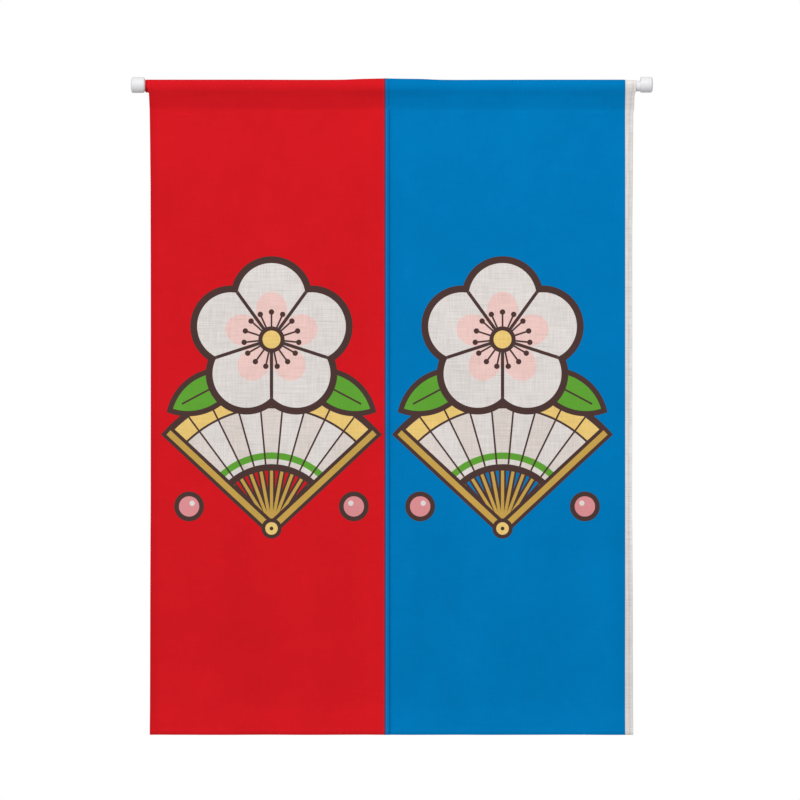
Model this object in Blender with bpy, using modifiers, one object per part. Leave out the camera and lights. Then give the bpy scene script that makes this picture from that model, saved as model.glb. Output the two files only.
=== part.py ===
"""A two-panel noren curtain hanging on a plain white tension rod.

Lengths are in metres. X runs along the rod, with +X to the right as seen from the front, -Y is the
front and +Z is up. The origin is on the rod's axis, at mid-length.
"""

import math
from collections import namedtuple

import bmesh
import bpy
import numpy as np

# Rod and end caps
OVERALL_LENGTH = 0.9180
ROD_RADIUS = 0.0095
ROD_BEVEL_RESOLUTION = 14
CAP_RADIUS = 0.01475
CAP_LENGTH = 0.0215
CAP_FLOOR = 0.0060
CAP_RISE = 0.0015
CAP_RIM_RADIUS = 0.0030
CAP_RIM_STEPS = 4
CAP_MOUTH_CHAMFER = 0.0008
CAP_STEPS = 32
FOOT_LENGTH = 0.0052
GROOVE_WIDTH = 0.0010
GROOVE_DEPTH = 0.0006
CLEARANCE = 0.0003
FACET_ALLOWANCE = 0.0001

# Cloth, its hems and its rod pocket
DROP = 1.1420
CLOTH_THICKNESS = 0.0011
HEM_THICKNESS = 0.0020
SIDE_HEM = 0.0100
SLIT_HEM = 0.0085
BOTTOM_HEM = 0.0105
HEM_STEP = 0.0012
SEAM_DEPTH = 0.0410
FLAP_END = 0.0455
LAYER_GAP = 0.0002
POCKET_RADIUS = ROD_RADIUS + CLEARANCE + FACET_ALLOWANCE

# The pocket stands a little off the rod beside the slit, where the stiff hems meet.
LIFT_CENTRE = -0.0040
LIFT_HALF_WIDTH = 0.0860
LIFT_HEIGHT = 0.0014
LIFT_SHARPNESS = 1.5

# Between the two panels: side by side in the pocket, and one just before the other below it.
SLIT_GAP = 0.0004
SLIT_OVERLAP = 0.0016
SLIT_STAGGER = 0.0013
STAGGER_REACH = 0.0450
STAGGER_START = 0.0480
STAGGER_END = 0.0800
OVERLAP_START = 0.0850
OVERLAP_END = 0.1150
PINCH_END = 0.0750

# Where the cloth's edges run: place is X at each height, from the bottom edge up to the rod's top.
EdgePoint = namedtuple("EdgePoint", "height place")
LEFT_EDGE = (
    EdgePoint(-1.1420, -0.4274),
    EdgePoint(-1.0460, -0.4271),
    EdgePoint(-0.9050, -0.4265),
    EdgePoint(-0.7290, -0.4257),
    EdgePoint(-0.3770, -0.4255),
    EdgePoint(-0.1660, -0.4258),
    EdgePoint(-0.0960, -0.4267),
    EdgePoint(-0.0400, -0.4276),
    EdgePoint(-0.0140, -0.4286),
    EdgePoint(-0.0105, -0.4345),
    EdgePoint(0.0000, -0.4353),
)
RIGHT_EDGE = (
    EdgePoint(-1.1420, 0.4237),
    EdgePoint(-0.9050, 0.4228),
    EdgePoint(-0.7290, 0.4204),
    EdgePoint(-0.5500, 0.4219),
    EdgePoint(-0.2500, 0.4218),
    EdgePoint(-0.1310, 0.4230),
    EdgePoint(-0.0470, 0.4236),
    EdgePoint(-0.0410, 0.4251),
    EdgePoint(-0.0160, 0.4262),
    EdgePoint(-0.0105, 0.4285),
    EdgePoint(0.0000, 0.4290),
)
SLIT_LINE = (
    EdgePoint(-1.1420, -0.0037),
    EdgePoint(-0.6000, -0.0045),
    EdgePoint(-0.0400, -0.0045),
    EdgePoint(0.0000, -0.0054),
)

# Soft upright folds of the hanging cloth. Forward is how far a fold stands out where it is deepest, and
# top is the height at which it has died away. The stiff bottom hem holds them a little flatter.
Fold = namedtuple("Fold", "centre half_width forward top")
FOLDS = (
    Fold(-0.412, 0.022, -0.0022, -0.50),
    Fold(-0.303, 0.044, 0.0034, -0.24),
    Fold(-0.218, 0.034, -0.0030, -0.34),
    Fold(-0.141, 0.036, 0.0030, -0.28),
    Fold(-0.045, 0.040, -0.0034, -0.42),
    Fold(0.012, 0.030, 0.0028, -0.30),
    Fold(0.122, 0.034, -0.0026, -0.36),
    Fold(0.164, 0.034, 0.0020, -0.48),
    Fold(0.310, 0.052, -0.0034, -0.30),
    Fold(0.385, 0.030, 0.0036, -0.24),
    Fold(0.421, 0.014, -0.0014, -0.60),
)
FOLDS_DEEPEST = 1.0300
HEM_HOLD = 0.25
HEM_HOLD_START = 1.0500

# Slow lean of the whole cloth: it moves forward by this much between two depths below the rod.
Lean = namedtuple("Lean", "forward start end")
LEANS = (
    Lean(0.0040, 0.045, 0.155),
    Lean(-0.0020, 0.155, 0.330),
    Lean(-0.0045, 0.900, 1.075),
    Lean(0.0035, 1.080, 1.142),
)

# Grid of the cloth: rows from the bottom edge up the front, over the rod and down the back.
HEM_LINES = 3
HANG_ROWS = 16
POCKET_FRONT_SHARES = (0.32, 0.56, 0.70, 0.78)
POCKET_BACK_SHARES = (0.25, 0.42, 0.70)
POCKET_ROUND_STEPS = 11
FIELD_COLUMNS = 16

# Colours, as display values from 0 to 255
RED_CLOTH = (203, 28, 34)
BLUE_CLOTH = (2, 116, 179)
WHITE_PAINT = (238, 238, 240)
WHITE_PLASTIC = (232, 232, 235)


def clear_scene():
    """Remove every object that the file starts with."""
    for obj in list(bpy.data.objects):
        bpy.data.objects.remove(obj, do_unlink=True)


def new_collection(name):
    """Make a collection and link it to the scene."""
    collection = bpy.data.collections.new(name)
    bpy.context.scene.collection.children.link(collection)
    return collection


def linear(display):
    """Turn a display colour into the linear one that materials take."""
    shares = (value / 255.0 for value in display)
    return tuple(s / 12.92 if s <= 0.04045 else ((s + 0.055) / 1.055) ** 2.4 for s in shares) + (1.0,)


def make_material(name, display, roughness):
    """Make a plain material of one colour."""
    material = bpy.data.materials.new(name)
    material.use_nodes = True
    shader = material.node_tree.nodes["Principled BSDF"]
    shader.inputs["Base Color"].default_value = linear(display)
    shader.inputs["Roughness"].default_value = roughness
    shader.inputs["Metallic"].default_value = 0.0
    return material


def ramp(value, start, end):
    """Rise smoothly from 0 at start to 1 at end."""
    share = min(max((value - start) / (end - start), 0.0), 1.0)
    return share * share * (3.0 - 2.0 * share)


def edge_place(points, height):
    """Read where an edge of the cloth is at one height."""
    heights = [point.height for point in points]
    places = [point.place for point in points]
    return float(np.interp(height, heights, places))


def slit_edge(height, side):
    """Place a panel's edge at the slit, where side is -1 for the left panel and 1 for the right one."""
    beside = edge_place(SLIT_LINE, height) + side * SLIT_GAP / 2.0
    if side < 0:
        return beside
    return beside - SLIT_OVERLAP * ramp(-height, OVERLAP_START, OVERLAP_END)


def panel_edges(height, side):
    """Give the left and right edges of a panel at one height."""
    if side < 0:
        return edge_place(LEFT_EDGE, height), slit_edge(height, side)
    return slit_edge(height, side), edge_place(RIGHT_EDGE, height)


def forward_shape(x, height):
    """Add up how far the folds and the lean push the cloth forward at one place."""
    hold = 1.0 - HEM_HOLD * ramp(-height, HEM_HOLD_START, DROP)
    depth = sum(lean.forward * ramp(-height, lean.start, lean.end) for lean in LEANS)
    for fold in FOLDS:
        fade = hold * ramp(-height, -fold.top, FOLDS_DEEPEST)
        depth += fold.forward * fade * math.exp(-(((x - fold.centre) / fold.half_width) ** 2))
    return depth


def slit_stagger(x, height, side):
    """Give how far a panel stands forward beside the slit, so that its edge clears the other panel's."""
    nearness = 1.0 - ramp(abs(x - edge_place(SLIT_LINE, height)), STAGGER_REACH / 2.0, STAGGER_REACH)
    return -side * SLIT_STAGGER * nearness * ramp(-height, STAGGER_START, STAGGER_END)


def pocket_lift(x):
    """Give how far the pocket stands off the rod at one place along it."""
    distance = min(abs(x - LIFT_CENTRE) / LIFT_HALF_WIDTH, 1.0)
    return LIFT_HEIGHT * max(math.cos(distance * math.pi / 2.0), 0.0) ** LIFT_SHARPNESS


def tangent_angle(radius):
    """Give the angle from straight down at which the cloth leaves the round of the pocket."""
    return math.atan2(LAYER_GAP, SEAM_DEPTH) + math.acos(radius / math.hypot(LAYER_GAP, SEAM_DEPTH))


def pocket_section(stretch, share, radius):
    """Give Y and Z on the pocket's inner face: a round over the rod, and two straight sides to the seam."""
    angle = tangent_angle(radius)
    leave_y = -radius * math.sin(angle)
    leave_z = -radius * math.cos(angle)
    if stretch == "front":
        y = -LAYER_GAP + share * (leave_y + LAYER_GAP)
        return y, -SEAM_DEPTH + share * (leave_z + SEAM_DEPTH)
    if stretch == "round":
        turn = angle + share * (2.0 * math.pi - 2.0 * angle)
        return -radius * math.sin(turn), -radius * math.cos(turn)
    y = -leave_y + share * (LAYER_GAP + leave_y)
    return y, leave_z - share * (leave_z + SEAM_DEPTH)


def hem_lines(width):
    """List how far each grid line of a hem lies from its edge."""
    return [float(place) for place in np.linspace(0.0, width - HEM_STEP, HEM_LINES)]


def hang_heights():
    """List the heights of the rows from the bottom edge up to the pocket's seam."""
    hem_rows = [place - DROP for place in hem_lines(BOTTOM_HEM)]
    field_rows = np.linspace(BOTTOM_HEM - DROP, -STAGGER_END, HANG_ROWS)
    upper_rows = [-(STAGGER_END + FLAP_END) / 2.0, -FLAP_END, -SEAM_DEPTH]
    return hem_rows + [float(height) for height in field_rows] + upper_rows


def row_stations():
    """List the rows of the cloth as pairs of a stretch and a height or share along it."""
    stations = [("hang", height) for height in hang_heights()]
    stations += [("front", share) for share in POCKET_FRONT_SHARES]
    stations += [("round", share) for share in np.linspace(0.0, 1.0, POCKET_ROUND_STEPS + 1)]
    stations += [("back", share) for share in POCKET_BACK_SHARES]
    stations += [("flap", -SEAM_DEPTH), ("flap", -FLAP_END)]
    return stations


def column_shares(side):
    """List the columns of a panel as shares of its width, with the hems at their real width."""
    left, right = panel_edges(-DROP / 2.0, side)
    width = right - left
    first_hem, last_hem = (SIDE_HEM, SLIT_HEM) if side < 0 else (SLIT_HEM, SIDE_HEM)
    first = hem_lines(first_hem)
    last = [width - place for place in reversed(hem_lines(last_hem))]
    field = [float(place) for place in np.linspace(first_hem, width - last_hem, FIELD_COLUMNS + 1)]
    return [place / width for place in first + field + last]


def local_thickness(column, columns, row):
    """Give the cloth's thickness: three layers in the hems, and one elsewhere."""
    in_side_hem = column < HEM_LINES or column >= columns - HEM_LINES
    in_bottom_hem = row < HEM_LINES
    return HEM_THICKNESS if in_side_hem or in_bottom_hem else CLOTH_THICKNESS


def inner_point(station, share, side, thickness):
    """Place one point of a panel's inner and back face."""
    stretch, along = station
    if stretch in ("hang", "flap"):
        height = along
        left, right = panel_edges(height, side)
        x = left + share * (right - left)
        if stretch == "flap":
            return x, LAYER_GAP, height
        back = -LAYER_GAP + (thickness - CLOTH_THICKNESS) * ramp(-height, FLAP_END, PINCH_END)
        return x, back - forward_shape(x, height) - slit_stagger(x, height, side), height
    left, right = panel_edges(0.0, side)
    radius = POCKET_RADIUS + pocket_lift(left + share * (right - left))
    y, height = pocket_section(stretch, along, radius)
    left, right = panel_edges(height, side)
    return left + share * (right - left), y, height


def build_panel(name, side, material, collection):
    """Build one panel: a grid laid along the path of the cloth, thickened outwards."""
    stations = row_stations()
    shares = column_shares(side)
    columns, rows = len(shares), len(stations)
    mesh = bpy.data.meshes.new(name)
    panel = bpy.data.objects.new(name, mesh)
    collection.objects.link(panel)
    panel.data.materials.append(material)
    weights = panel.vertex_groups.new(name="thickness")
    grid = bmesh.new()
    bmesh.ops.create_grid(grid, x_segments=columns - 1, y_segments=rows - 1, size=1.0)
    factors = {}
    for vert in grid.verts:
        column = round((vert.co.x + 1.0) / 2.0 * (columns - 1))
        row = round((vert.co.y + 1.0) / 2.0 * (rows - 1))
        thickness = local_thickness(column, columns, row)
        vert.co = inner_point(stations[row], shares[column], side, thickness)
        factors[vert.index] = thickness / HEM_THICKNESS
    grid.normal_update()
    grid.to_mesh(mesh)
    grid.free()
    for index, factor in factors.items():
        weights.add([index], factor, "REPLACE")
    shell = panel.modifiers.new("cloth", "SOLIDIFY")
    shell.thickness = HEM_THICKNESS
    shell.offset = 1.0
    shell.use_even_offset = True
    shell.vertex_group = weights.name
    mesh.shade_smooth()
    return panel


def build_rod(material, collection):
    """Build the plain tube, which ends inside the caps."""
    half_length = OVERALL_LENGTH / 2.0 - CAP_FLOOR - CLEARANCE
    curve = bpy.data.curves.new("rod_tube", "CURVE")
    curve.dimensions = "3D"
    curve.bevel_depth = ROD_RADIUS
    curve.bevel_resolution = ROD_BEVEL_RESOLUTION
    curve.use_fill_caps = True
    spline = curve.splines.new("POLY")
    spline.points.add(1)
    spline.points[0].co = (-half_length, 0.0, 0.0, 1.0)
    spline.points[1].co = (half_length, 0.0, 0.0, 1.0)
    rod = bpy.data.objects.new("rod_tube", curve)
    rod.data.materials.append(material)
    collection.objects.link(rod)
    return rod


def cap_profile():
    """List radius and height round a cap's section, from its outer face down to the socket's floor."""
    points = [(0.0, 0.0)]
    rim_centre = CAP_RADIUS - CAP_RIM_RADIUS
    for step in range(CAP_RIM_STEPS + 1):
        angle = step / CAP_RIM_STEPS * math.pi / 2.0
        rim_x = rim_centre + CAP_RIM_RADIUS * math.sin(angle)
        points.append((rim_x, CAP_RIM_RADIUS * (math.cos(angle) - 1.0)))
    socket_radius = ROD_RADIUS + CLEARANCE + CAP_RISE
    points += [
        (CAP_RADIUS, -FOOT_LENGTH),
        (CAP_RADIUS - GROOVE_DEPTH, -FOOT_LENGTH - GROOVE_WIDTH / 2.0),
        (CAP_RADIUS, -FOOT_LENGTH - GROOVE_WIDTH),
        (CAP_RADIUS, -CAP_LENGTH + CAP_MOUTH_CHAMFER),
        (CAP_RADIUS - CAP_MOUTH_CHAMFER, -CAP_LENGTH),
        (socket_radius, -CAP_LENGTH),
        (socket_radius, -CAP_FLOOR),
        (0.0, -CAP_FLOOR),
    ]
    return points


def build_cap(name, side, material, collection):
    """Build one cup-shaped end cap, turned about the rod's direction. Side is -1 at the left end."""
    points = cap_profile()
    mesh = bpy.data.meshes.new(name)
    edges = [(index, index + 1) for index in range(len(points) - 1)]
    mesh.from_pydata([(radius, 0.0, height) for radius, height in points], edges, [])
    cap = bpy.data.objects.new(name, mesh)
    cap.data.materials.append(material)
    collection.objects.link(cap)
    turned = cap.modifiers.new("turned", "SCREW")
    turned.axis = "Z"
    turned.steps = CAP_STEPS
    turned.render_steps = CAP_STEPS
    turned.use_merge_vertices = True
    turned.merge_threshold = 0.00001
    turned.use_smooth_shade = True
    cap.location = (side * OVERALL_LENGTH / 2.0, 0.0, CAP_RISE)
    cap.rotation_euler = (0.0, side * math.pi / 2.0, 0.0)
    return cap


def main():
    """Build the curtain and its rod."""
    clear_scene()
    collection = new_collection("noren_curtain_on_tension_rod")
    build_panel("panel_left", -1, make_material("red_cloth", RED_CLOTH, 0.9), collection)
    build_panel("panel_right", 1, make_material("blue_cloth", BLUE_CLOTH, 0.9), collection)
    build_rod(make_material("white_paint", WHITE_PAINT, 0.4), collection)
    plastic = make_material("white_plastic", WHITE_PLASTIC, 0.45)
    build_cap("cap_left", -1, plastic, collection)
    build_cap("cap_right", 1, plastic, collection)


main()
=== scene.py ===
"""Looks of a two-panel noren curtain on a plain white tension rod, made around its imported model.

Lengths are in metres. X runs along the rod, with +X to the right as seen from the front, -Y is the
front and +Z is up. The origin is on the rod's axis, at mid-length.
"""

import math
from collections import namedtuple

import bpy
import numpy as np
from bpy.props import FloatProperty, FloatVectorProperty, PointerProperty
from bpy.types import Operator, Panel, PropertyGroup
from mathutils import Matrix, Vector


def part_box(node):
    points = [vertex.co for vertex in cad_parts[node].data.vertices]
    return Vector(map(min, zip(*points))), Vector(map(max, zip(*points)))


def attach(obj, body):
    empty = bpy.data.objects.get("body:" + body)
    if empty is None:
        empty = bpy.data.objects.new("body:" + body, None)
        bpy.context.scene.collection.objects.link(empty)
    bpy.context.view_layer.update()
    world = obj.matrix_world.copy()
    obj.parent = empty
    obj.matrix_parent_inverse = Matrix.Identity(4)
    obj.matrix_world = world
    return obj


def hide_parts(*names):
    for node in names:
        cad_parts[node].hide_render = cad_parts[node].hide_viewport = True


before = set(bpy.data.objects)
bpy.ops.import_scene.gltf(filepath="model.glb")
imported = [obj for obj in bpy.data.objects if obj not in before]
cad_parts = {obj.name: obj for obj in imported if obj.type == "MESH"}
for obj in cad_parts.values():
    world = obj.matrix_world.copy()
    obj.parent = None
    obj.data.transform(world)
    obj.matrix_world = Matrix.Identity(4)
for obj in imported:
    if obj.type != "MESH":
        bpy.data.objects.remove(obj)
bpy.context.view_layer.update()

bl_info = {
    "name": "Noren curtain on a tension rod",
    "version": (1, 0, 0),
    "blender": (4, 5, 0),
    "location": "View3D > Sidebar > Noren",
    "description": "Dresses the packed model of a doorway curtain in cloth, thread, paint and plastic",
    "category": "Add Mesh",
}

# The length from cap to cap, the rod's radius and the cloth's drop below the rod's axis, as packed, to a
# thousandth of a millimetre
OVERALL_LENGTH = round(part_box("cap_right")[1][0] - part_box("cap_left")[0][0], 6)
ROD_RADIUS = round(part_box("rod_tube")[1][2], 6)
DROP = round(-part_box("panel_left")[0][2], 6)

# The end caps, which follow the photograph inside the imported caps' size. Each narrows a little from its
# foot on. The ring in its face and the groove at its foot are pairs of a place and a depth: a radius,
# and a distance from the groove's middle.
CAP_RADIUS = 0.01410
CAP_TAPER = 0.00012
TAPER_START = 0.0060
TAPER_LENGTH = 0.0155
TAPER_PLACES = (0.0100, 0.0150)
CAP_RIM = (0.0040, 0.0060)
CAP_FLOOR = 0.0060
CAP_SOCKET_RADIUS = 0.0117
CAP_LIP = 0.0005
MOUTH_MARGIN = 0.0010
FACE_RING = ((0.0050, 0.0), (0.0054, 0.00035), (0.0068, 0.00035), (0.0072, 0.0))
GROOVE_PLACE = 0.0057
GROOVE = (
    (-0.0009, 0.0), (-0.0005, 0.00010), (-0.0002, 0.00035), (0.0002, 0.00035), (0.0005, 0.00010),
    (0.0009, 0.0),
)

# The rod, which reaches from the floor of one socket to the other. Its corners are rounded, and round
# pieces have this many sides.
ROD_LENGTH = OVERALL_LENGTH - 2.0 * CAP_FLOOR
ROD_BEVEL = 0.0005
ROUND_STEPS = 96

# One row for each cap, with side -1 for the left one. Its mouth's edge is rounded over a depth and a
# height, and it rides this high above the rod's axis.
Cap = namedtuple("Cap", "name node side length mouth_round rise")
CAPS = (
    Cap("end_cap_left", "cap_left", -1, 0.0240, (0.0042, 0.0018), 0.0018),
    Cap("end_cap_right", "cap_right", 1, 0.0213, (0.0010, 0.0008), 0.0023),
)

# The cloth, its hems and its rod pocket. The printed face lies this far before the rod's axis at the
# seam, and the turned end lies that far behind it. The rounded edge is thinner in the pocket, and gets
# so between two heights.
SEAM_DEPTH = 0.0410
HANG_LENGTH = DROP - SEAM_DEPTH
FLAP_END = 0.0455
FRONT_FACE = 0.0013
FLAP_FACE = 0.00095
POCKET_OUTER_RADIUS = 0.0109
POCKET_HEM_THICKNESS = 0.0015
BACK_SLACK = 0.0012
BACK_RIPPLE = 0.0004
BACK_WAVELENGTH = 0.060
HEM_STEP = 0.0006
BOTTOM_HEM = 0.0105
BOTTOM_STITCH = 0.0093
BOTTOM_TURN = 0.0300
EDGE_ROUND = 0.0009
POCKET_EDGE_ROUND = 0.00070
EDGE_ROUND_HEIGHTS = (-0.049, -0.029)
RIM_STEPS = 4

# The bottom hem swells forward over the first pair of depths, and half of that goes over the second.
BOTTOM_SWELL = 0.00115
SWELL_DEPTHS = (1.1290, 1.1355)
SWELL_END_DEPTHS = (1.1370, 1.1425)

# How the pocket's front and the cloth just below its seam lean, as pairs of a height and an angle in
# degrees: above zero it faces upwards. The front is as full as the round above it from this share of its
# height on, and the cloth's relief fades between these two shares.
FRONT_TILTS = np.array((
    (-0.0560, 0.0), (-0.0515, -1.5), (-0.0465, 1.5), (-0.0430, -1.0), (-0.0405, -5.5),
    (-0.0375, -10.5), (-0.0340, -14.0), (-0.0250, -15.0), (-0.0200, -17.5), (-0.0160, -21.0),
    (-0.0110, -21.0), (-0.0080, -16.5), (-0.0050, -8.0), (-0.0018, 0.0), (0.0010, 7.0),
    (0.0032, 17.0),
))
FRONT_TOP = FRONT_TILTS[-1, 0]
FRONT_FULL = 0.80
RELIEF_FADE = (0.45, 0.90)

# How far the pocket stands off the rod, as pairs of an X and a height, read as the mean over the lift's
# reach on both sides. It stands off most beside the slit, where the stiff hems meet, and its mouth closes
# round the rod at the right.
POCKET_LIFTS = np.array((
    (-0.2400, 0.00040), (-0.1750, 0.00015), (-0.1300, 0.00007), (-0.0960, 0.00022),
    (-0.0820, 0.00045), (-0.0660, 0.00118), (-0.0520, 0.00170), (-0.0300, 0.00210),
    (-0.0050, 0.00250), (0.0180, 0.00210), (0.0460, 0.00167), (0.0610, 0.00124), (0.0740, 0.00046),
    (0.0880, 0.00014), (0.1160, -0.00012), (0.1700, 0.00013), (0.2700, 0.00033), (0.4050, 0.00040),
    (0.4095, 0.00025), (0.4140, -0.00015), (0.4180, -0.00035),
))
LIFT_REACH = 0.0050

# The left sleeve's end rolls back round the rod from the roll's start on, over the roll's reach, behind a
# low crest that rises between its two feet. The corner is where the sleeve's edge steps out.
ROLL_START = -0.4280
ROLL_REACH = 0.0032
ROLL_DEPTH = 0.0060
CREST_X = -0.4272
CREST_HALF_WIDTH = 0.0012
CREST_HEIGHT = 0.0004
CREST_FEET = (-0.0130, -0.0105)
CORNER_HEIGHT = -0.0109

# Painted light and shade on the cloth, in steps of painted shade: painted shade above zero and painted
# light below it. Painted shade lies along a side hem's stitching and towards the edge between two insets,
# with painted light there where below zero, and painted shade fills the hollow under the roll. A painted
# highlight lies on the crest, and painted light at the cream margin's mouth. The margin is also paler in
# broad bells down its length, more so on its outer part.
STITCH_SHADE_HALF_WIDTH = 0.0016
FALL_INSETS = (0.0075, 0.0010)
HOLLOW_SHADE = 20.0
HOLLOW_START = (-0.4262, -0.4300)
HOLLOW_HEIGHT = -0.0064
HOLLOW_HALF_HEIGHT = 0.0028
CREST_HIGHLIGHT = 13.5
CREST_HIGHLIGHT_HALF_WIDTH = 0.0013
MARGIN_START = (0.4095, 0.4115)
MARGIN_OUTER_PART = (0.4185, 0.4215)
MARGIN_SHARES = (0.6, 1.4)
MARGIN_MOUTH = (-0.0005, 0.0050)
MOUTH_PAINTED_LIGHT = 6.0
Worn = namedtuple("Worn", "height half_height wear")
MARGIN_PALE_BELLS = (
    Worn(-0.6200, 0.2200, 5.0),
    Worn(-0.7850, 0.0450, 4.0),
)

# Between the two panels: side by side in the pocket, and one just before the other below it. Each change
# goes over a pair of depths, and the stagger reaches this far from the slit.
SLIT_GAP = 0.00002
SLIT_OVERLAP = 0.0016
OVERLAP_DEPTHS = (0.0370, 0.0620)
SLIT_STAGGER = 0.0014
POCKET_STAGGER = 0.00010
STAGGER_DEPTHS = (0.0360, 0.0560)
STAGGER_REACH = 0.0450

# Where the cloth's edges run, as pairs of a height and the X there. Inside the panel the sleeve's steps
# are evened out over the calm reach, and a step dies away from its edge over the step's reach.
LEFT_EDGE = np.array((
    (-1.1420, -0.4262), (-1.0460, -0.4259), (-0.9050, -0.4253), (-0.7290, -0.4245),
    (-0.3770, -0.4243), (-0.1660, -0.4246), (-0.0960, -0.4255), (-0.0400, -0.4264),
    (-0.0112, -0.4274), (-0.0107, -0.4331), (-0.0099, -0.4338), (0.0000, -0.4338),
))
RIGHT_EDGE = np.array((
    (-1.1420, 0.4249), (-0.9050, 0.4240), (-0.7290, 0.4228), (-0.5500, 0.4231),
    (-0.2500, 0.4230), (-0.1310, 0.4242), (-0.0470, 0.4248), (-0.0410, 0.4263),
    (-0.0190, 0.4267), (-0.0160, 0.4274), (-0.0120, 0.4277), (-0.0106, 0.4295), (0.0000, 0.4296),
))
SLIT_LINE = np.array(((-1.1420, -0.0040), (-0.6000, -0.0048), (-0.0400, -0.0048), (0.0000, -0.0047)))
CALM_REACH = 0.0090
STEP_REACH = 0.0045

# Soft upright folds. Forward is how far a fold stands out where it is deepest, and top is the height at
# which it has died away. The bottom hem holds the folds back by a share, from a depth on.
Fold = namedtuple("Fold", "centre half_width forward top")
FOLDS = (
    Fold(-0.412, 0.022, -0.0022, -0.50),
    Fold(-0.303, 0.044, 0.0034, -0.24),
    Fold(-0.218, 0.034, -0.0030, -0.34),
    Fold(-0.141, 0.036, 0.0030, -0.28),
    Fold(-0.045, 0.040, -0.0034, -0.42),
    Fold(0.012, 0.030, 0.0028, -0.30),
    Fold(0.122, 0.034, -0.0026, -0.36),
    Fold(0.164, 0.034, 0.0020, -0.48),
    Fold(0.310, 0.052, -0.0034, -0.30),
    Fold(0.385, 0.030, 0.0036, -0.24),
    Fold(0.421, 0.014, -0.0014, -0.60),
)
FOLDS_DEEPEST = 1.0300
HEM_HOLD = 0.25
HEM_HOLD_START = 1.0500

# Slow lean of the whole cloth: it moves forward by this much between two depths below the rod.
Lean = namedtuple("Lean", "forward start end")
LEANS = (
    Lean(0.0040, 0.045, 0.155),
    Lean(-0.0020, 0.155, 0.330),
    Lean(-0.0062, 0.850, 1.075),
    Lean(0.0045, 1.085, 1.142),
)

# A waver is a sum of three sines, with these shares of its wavelength, brought to about 1.
WAVER_SHARES = np.array((1.0, 0.63, 1.71))
WAVER_HEIGHT = 2.2

# Slow waves of the open cloth: each is a waver across times a waver down, slanted by a share of the
# height. They begin below the seam over this distance.
Wave = namedtuple("Wave", "strength slant across down")
WAVES = (
    Wave(1.0, 0.0, 0.085, 0.230),
    Wave(0.5, 0.35, 0.047, 0.120),
)
WAVES_BEGIN = 0.06

# Relief beside stitching. Grooves and swells are multiples of a stitch groove's depth, and the slow ripple
# is one of the puckers' height. The swell's place and half width are shares of the line's distance from
# the edge, and the slow ripple's are distances below the seam.
Ripple = namedtuple("Ripple", "wavelength reach")
HEM_RIPPLE = Ripple(0.013, 0.0050)
HEM_GROOVE_HALF_WIDTH = 0.0010
HEM_SWELL = 2.2
HEM_SWELL_SHARES = (0.55, 0.40)
SEAM_RIPPLE = Ripple(0.016, 0.0060)
SEAM_GROOVE = 0.8
SEAM_GROOVE_HALF_WIDTH = 0.0012
SLOW_RIPPLE = 1.2
SLOW_WAVELENGTH = 0.052
SLOW_BELOW = (0.008, 0.016)
FLAP_GROOVE = 0.6
FLAP_GROOVE_HALF_WIDTH = 0.0011

# Small puckers below the pocket's seam, where the cloth was eased under the needle.
Pucker = namedtuple("Pucker", "x height half_width half_height forward")
PUCKERS = (
    Pucker(-0.374, -0.0515, 0.0150, 0.0026, 0.00045),
    Pucker(-0.352, -0.0480, 0.0110, 0.0022, -0.00035),
    Pucker(0.357, -0.0495, 0.0120, 0.0026, 0.00045),
    Pucker(0.120, -0.0500, 0.0180, 0.0030, 0.00025),
    Pucker(-0.160, -0.0505, 0.0200, 0.0030, 0.00025),
)

# How the grid thins out away from the hems and the stitching, and its rows over the rod, down the back
# and on the flap. Means and sums along the cloth are taken over so many steps.
ROW_REACH = 0.045
COLUMN_REACH = 0.022
FRONT_REACH = 0.006
FRONT_STEP = 0.0011
FRONT_FINER = 1.5
UPPER_ROWS = (26, 18, 6)
SAME_PLACE = 1e-9
CALM_STEPS = 13
LIFT_STEPS = 7
BULGE_STEPS = 900
SPREAD_STEPS = 20001

# A stitch is a tube of this many sides, with a ring at each of these shares of its half length. Its girth
# and its arch are in radii of the thread: how much they are at its middle, and how much they lose by the
# square of the share. Its tips dip into the cloth.
STITCH_SIDES = 5
STITCH_STATIONS = (-0.84, -0.40, 0.40, 0.84)
STITCH_GIRTH = (1.0, 0.55)
STITCH_ARCH = (0.6, 1.5)
STITCH_TIP = -1.1

# Where the hem gets thinner about the pocket's seam, how soft the step of painted shade at the seam is,
# and how much painted shade darkens a hem, where its folded cloth lets less light through
POCKET_THINNING = (-0.008, 0.012)
HEADER_STEP = 0.0005
HEM_PAINTED_SHADE = 1.6

# One row for each panel, with side -1 for the left one. Hems and stitches are how far in the hem's fold
# and its stitching lie at the panel's left and right edges. Shades are painted shade on the cloth, and
# painted light where below zero, at the stitching and towards the edge, at the left and at the right. From
# band_start on the ground gives way to the band, and meeting is how dark a line shows there, where two
# dyes run into each other.
Cloth = namedtuple("Cloth", (
    "name", "node", "slot", "side", "hems", "stitches", "shades", "ground", "band", "band_start",
    "meeting", "motif_x", "seed",
))
CLOTHS = (
    Cloth(name="cloth_left", node="panel_left", slot="red_cloth", side=-1, hems=(0.0115, 0.0085),
          stitches=(0.0104, 0.0073), shades=((0.5, 4.5), (0.5, 2.2)), ground="red", band="blue",
          band_start=-0.0122, meeting=1.0, motif_x=-0.2118, seed=11),
    Cloth(name="cloth_right", node="panel_right", slot="blue_cloth", side=1, hems=(0.0085, 0.0078),
          stitches=(0.0073, 0.0062), shades=((-2.2, -2.0), (5.5, -2.4)), ground="blue", band="cream",
          band_start=0.4105, meeting=0.0, motif_x=0.1947, seed=23),
)
UV_NAME = "cloth_place"
PAINTED_SHADE_NAME = "layers"

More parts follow.
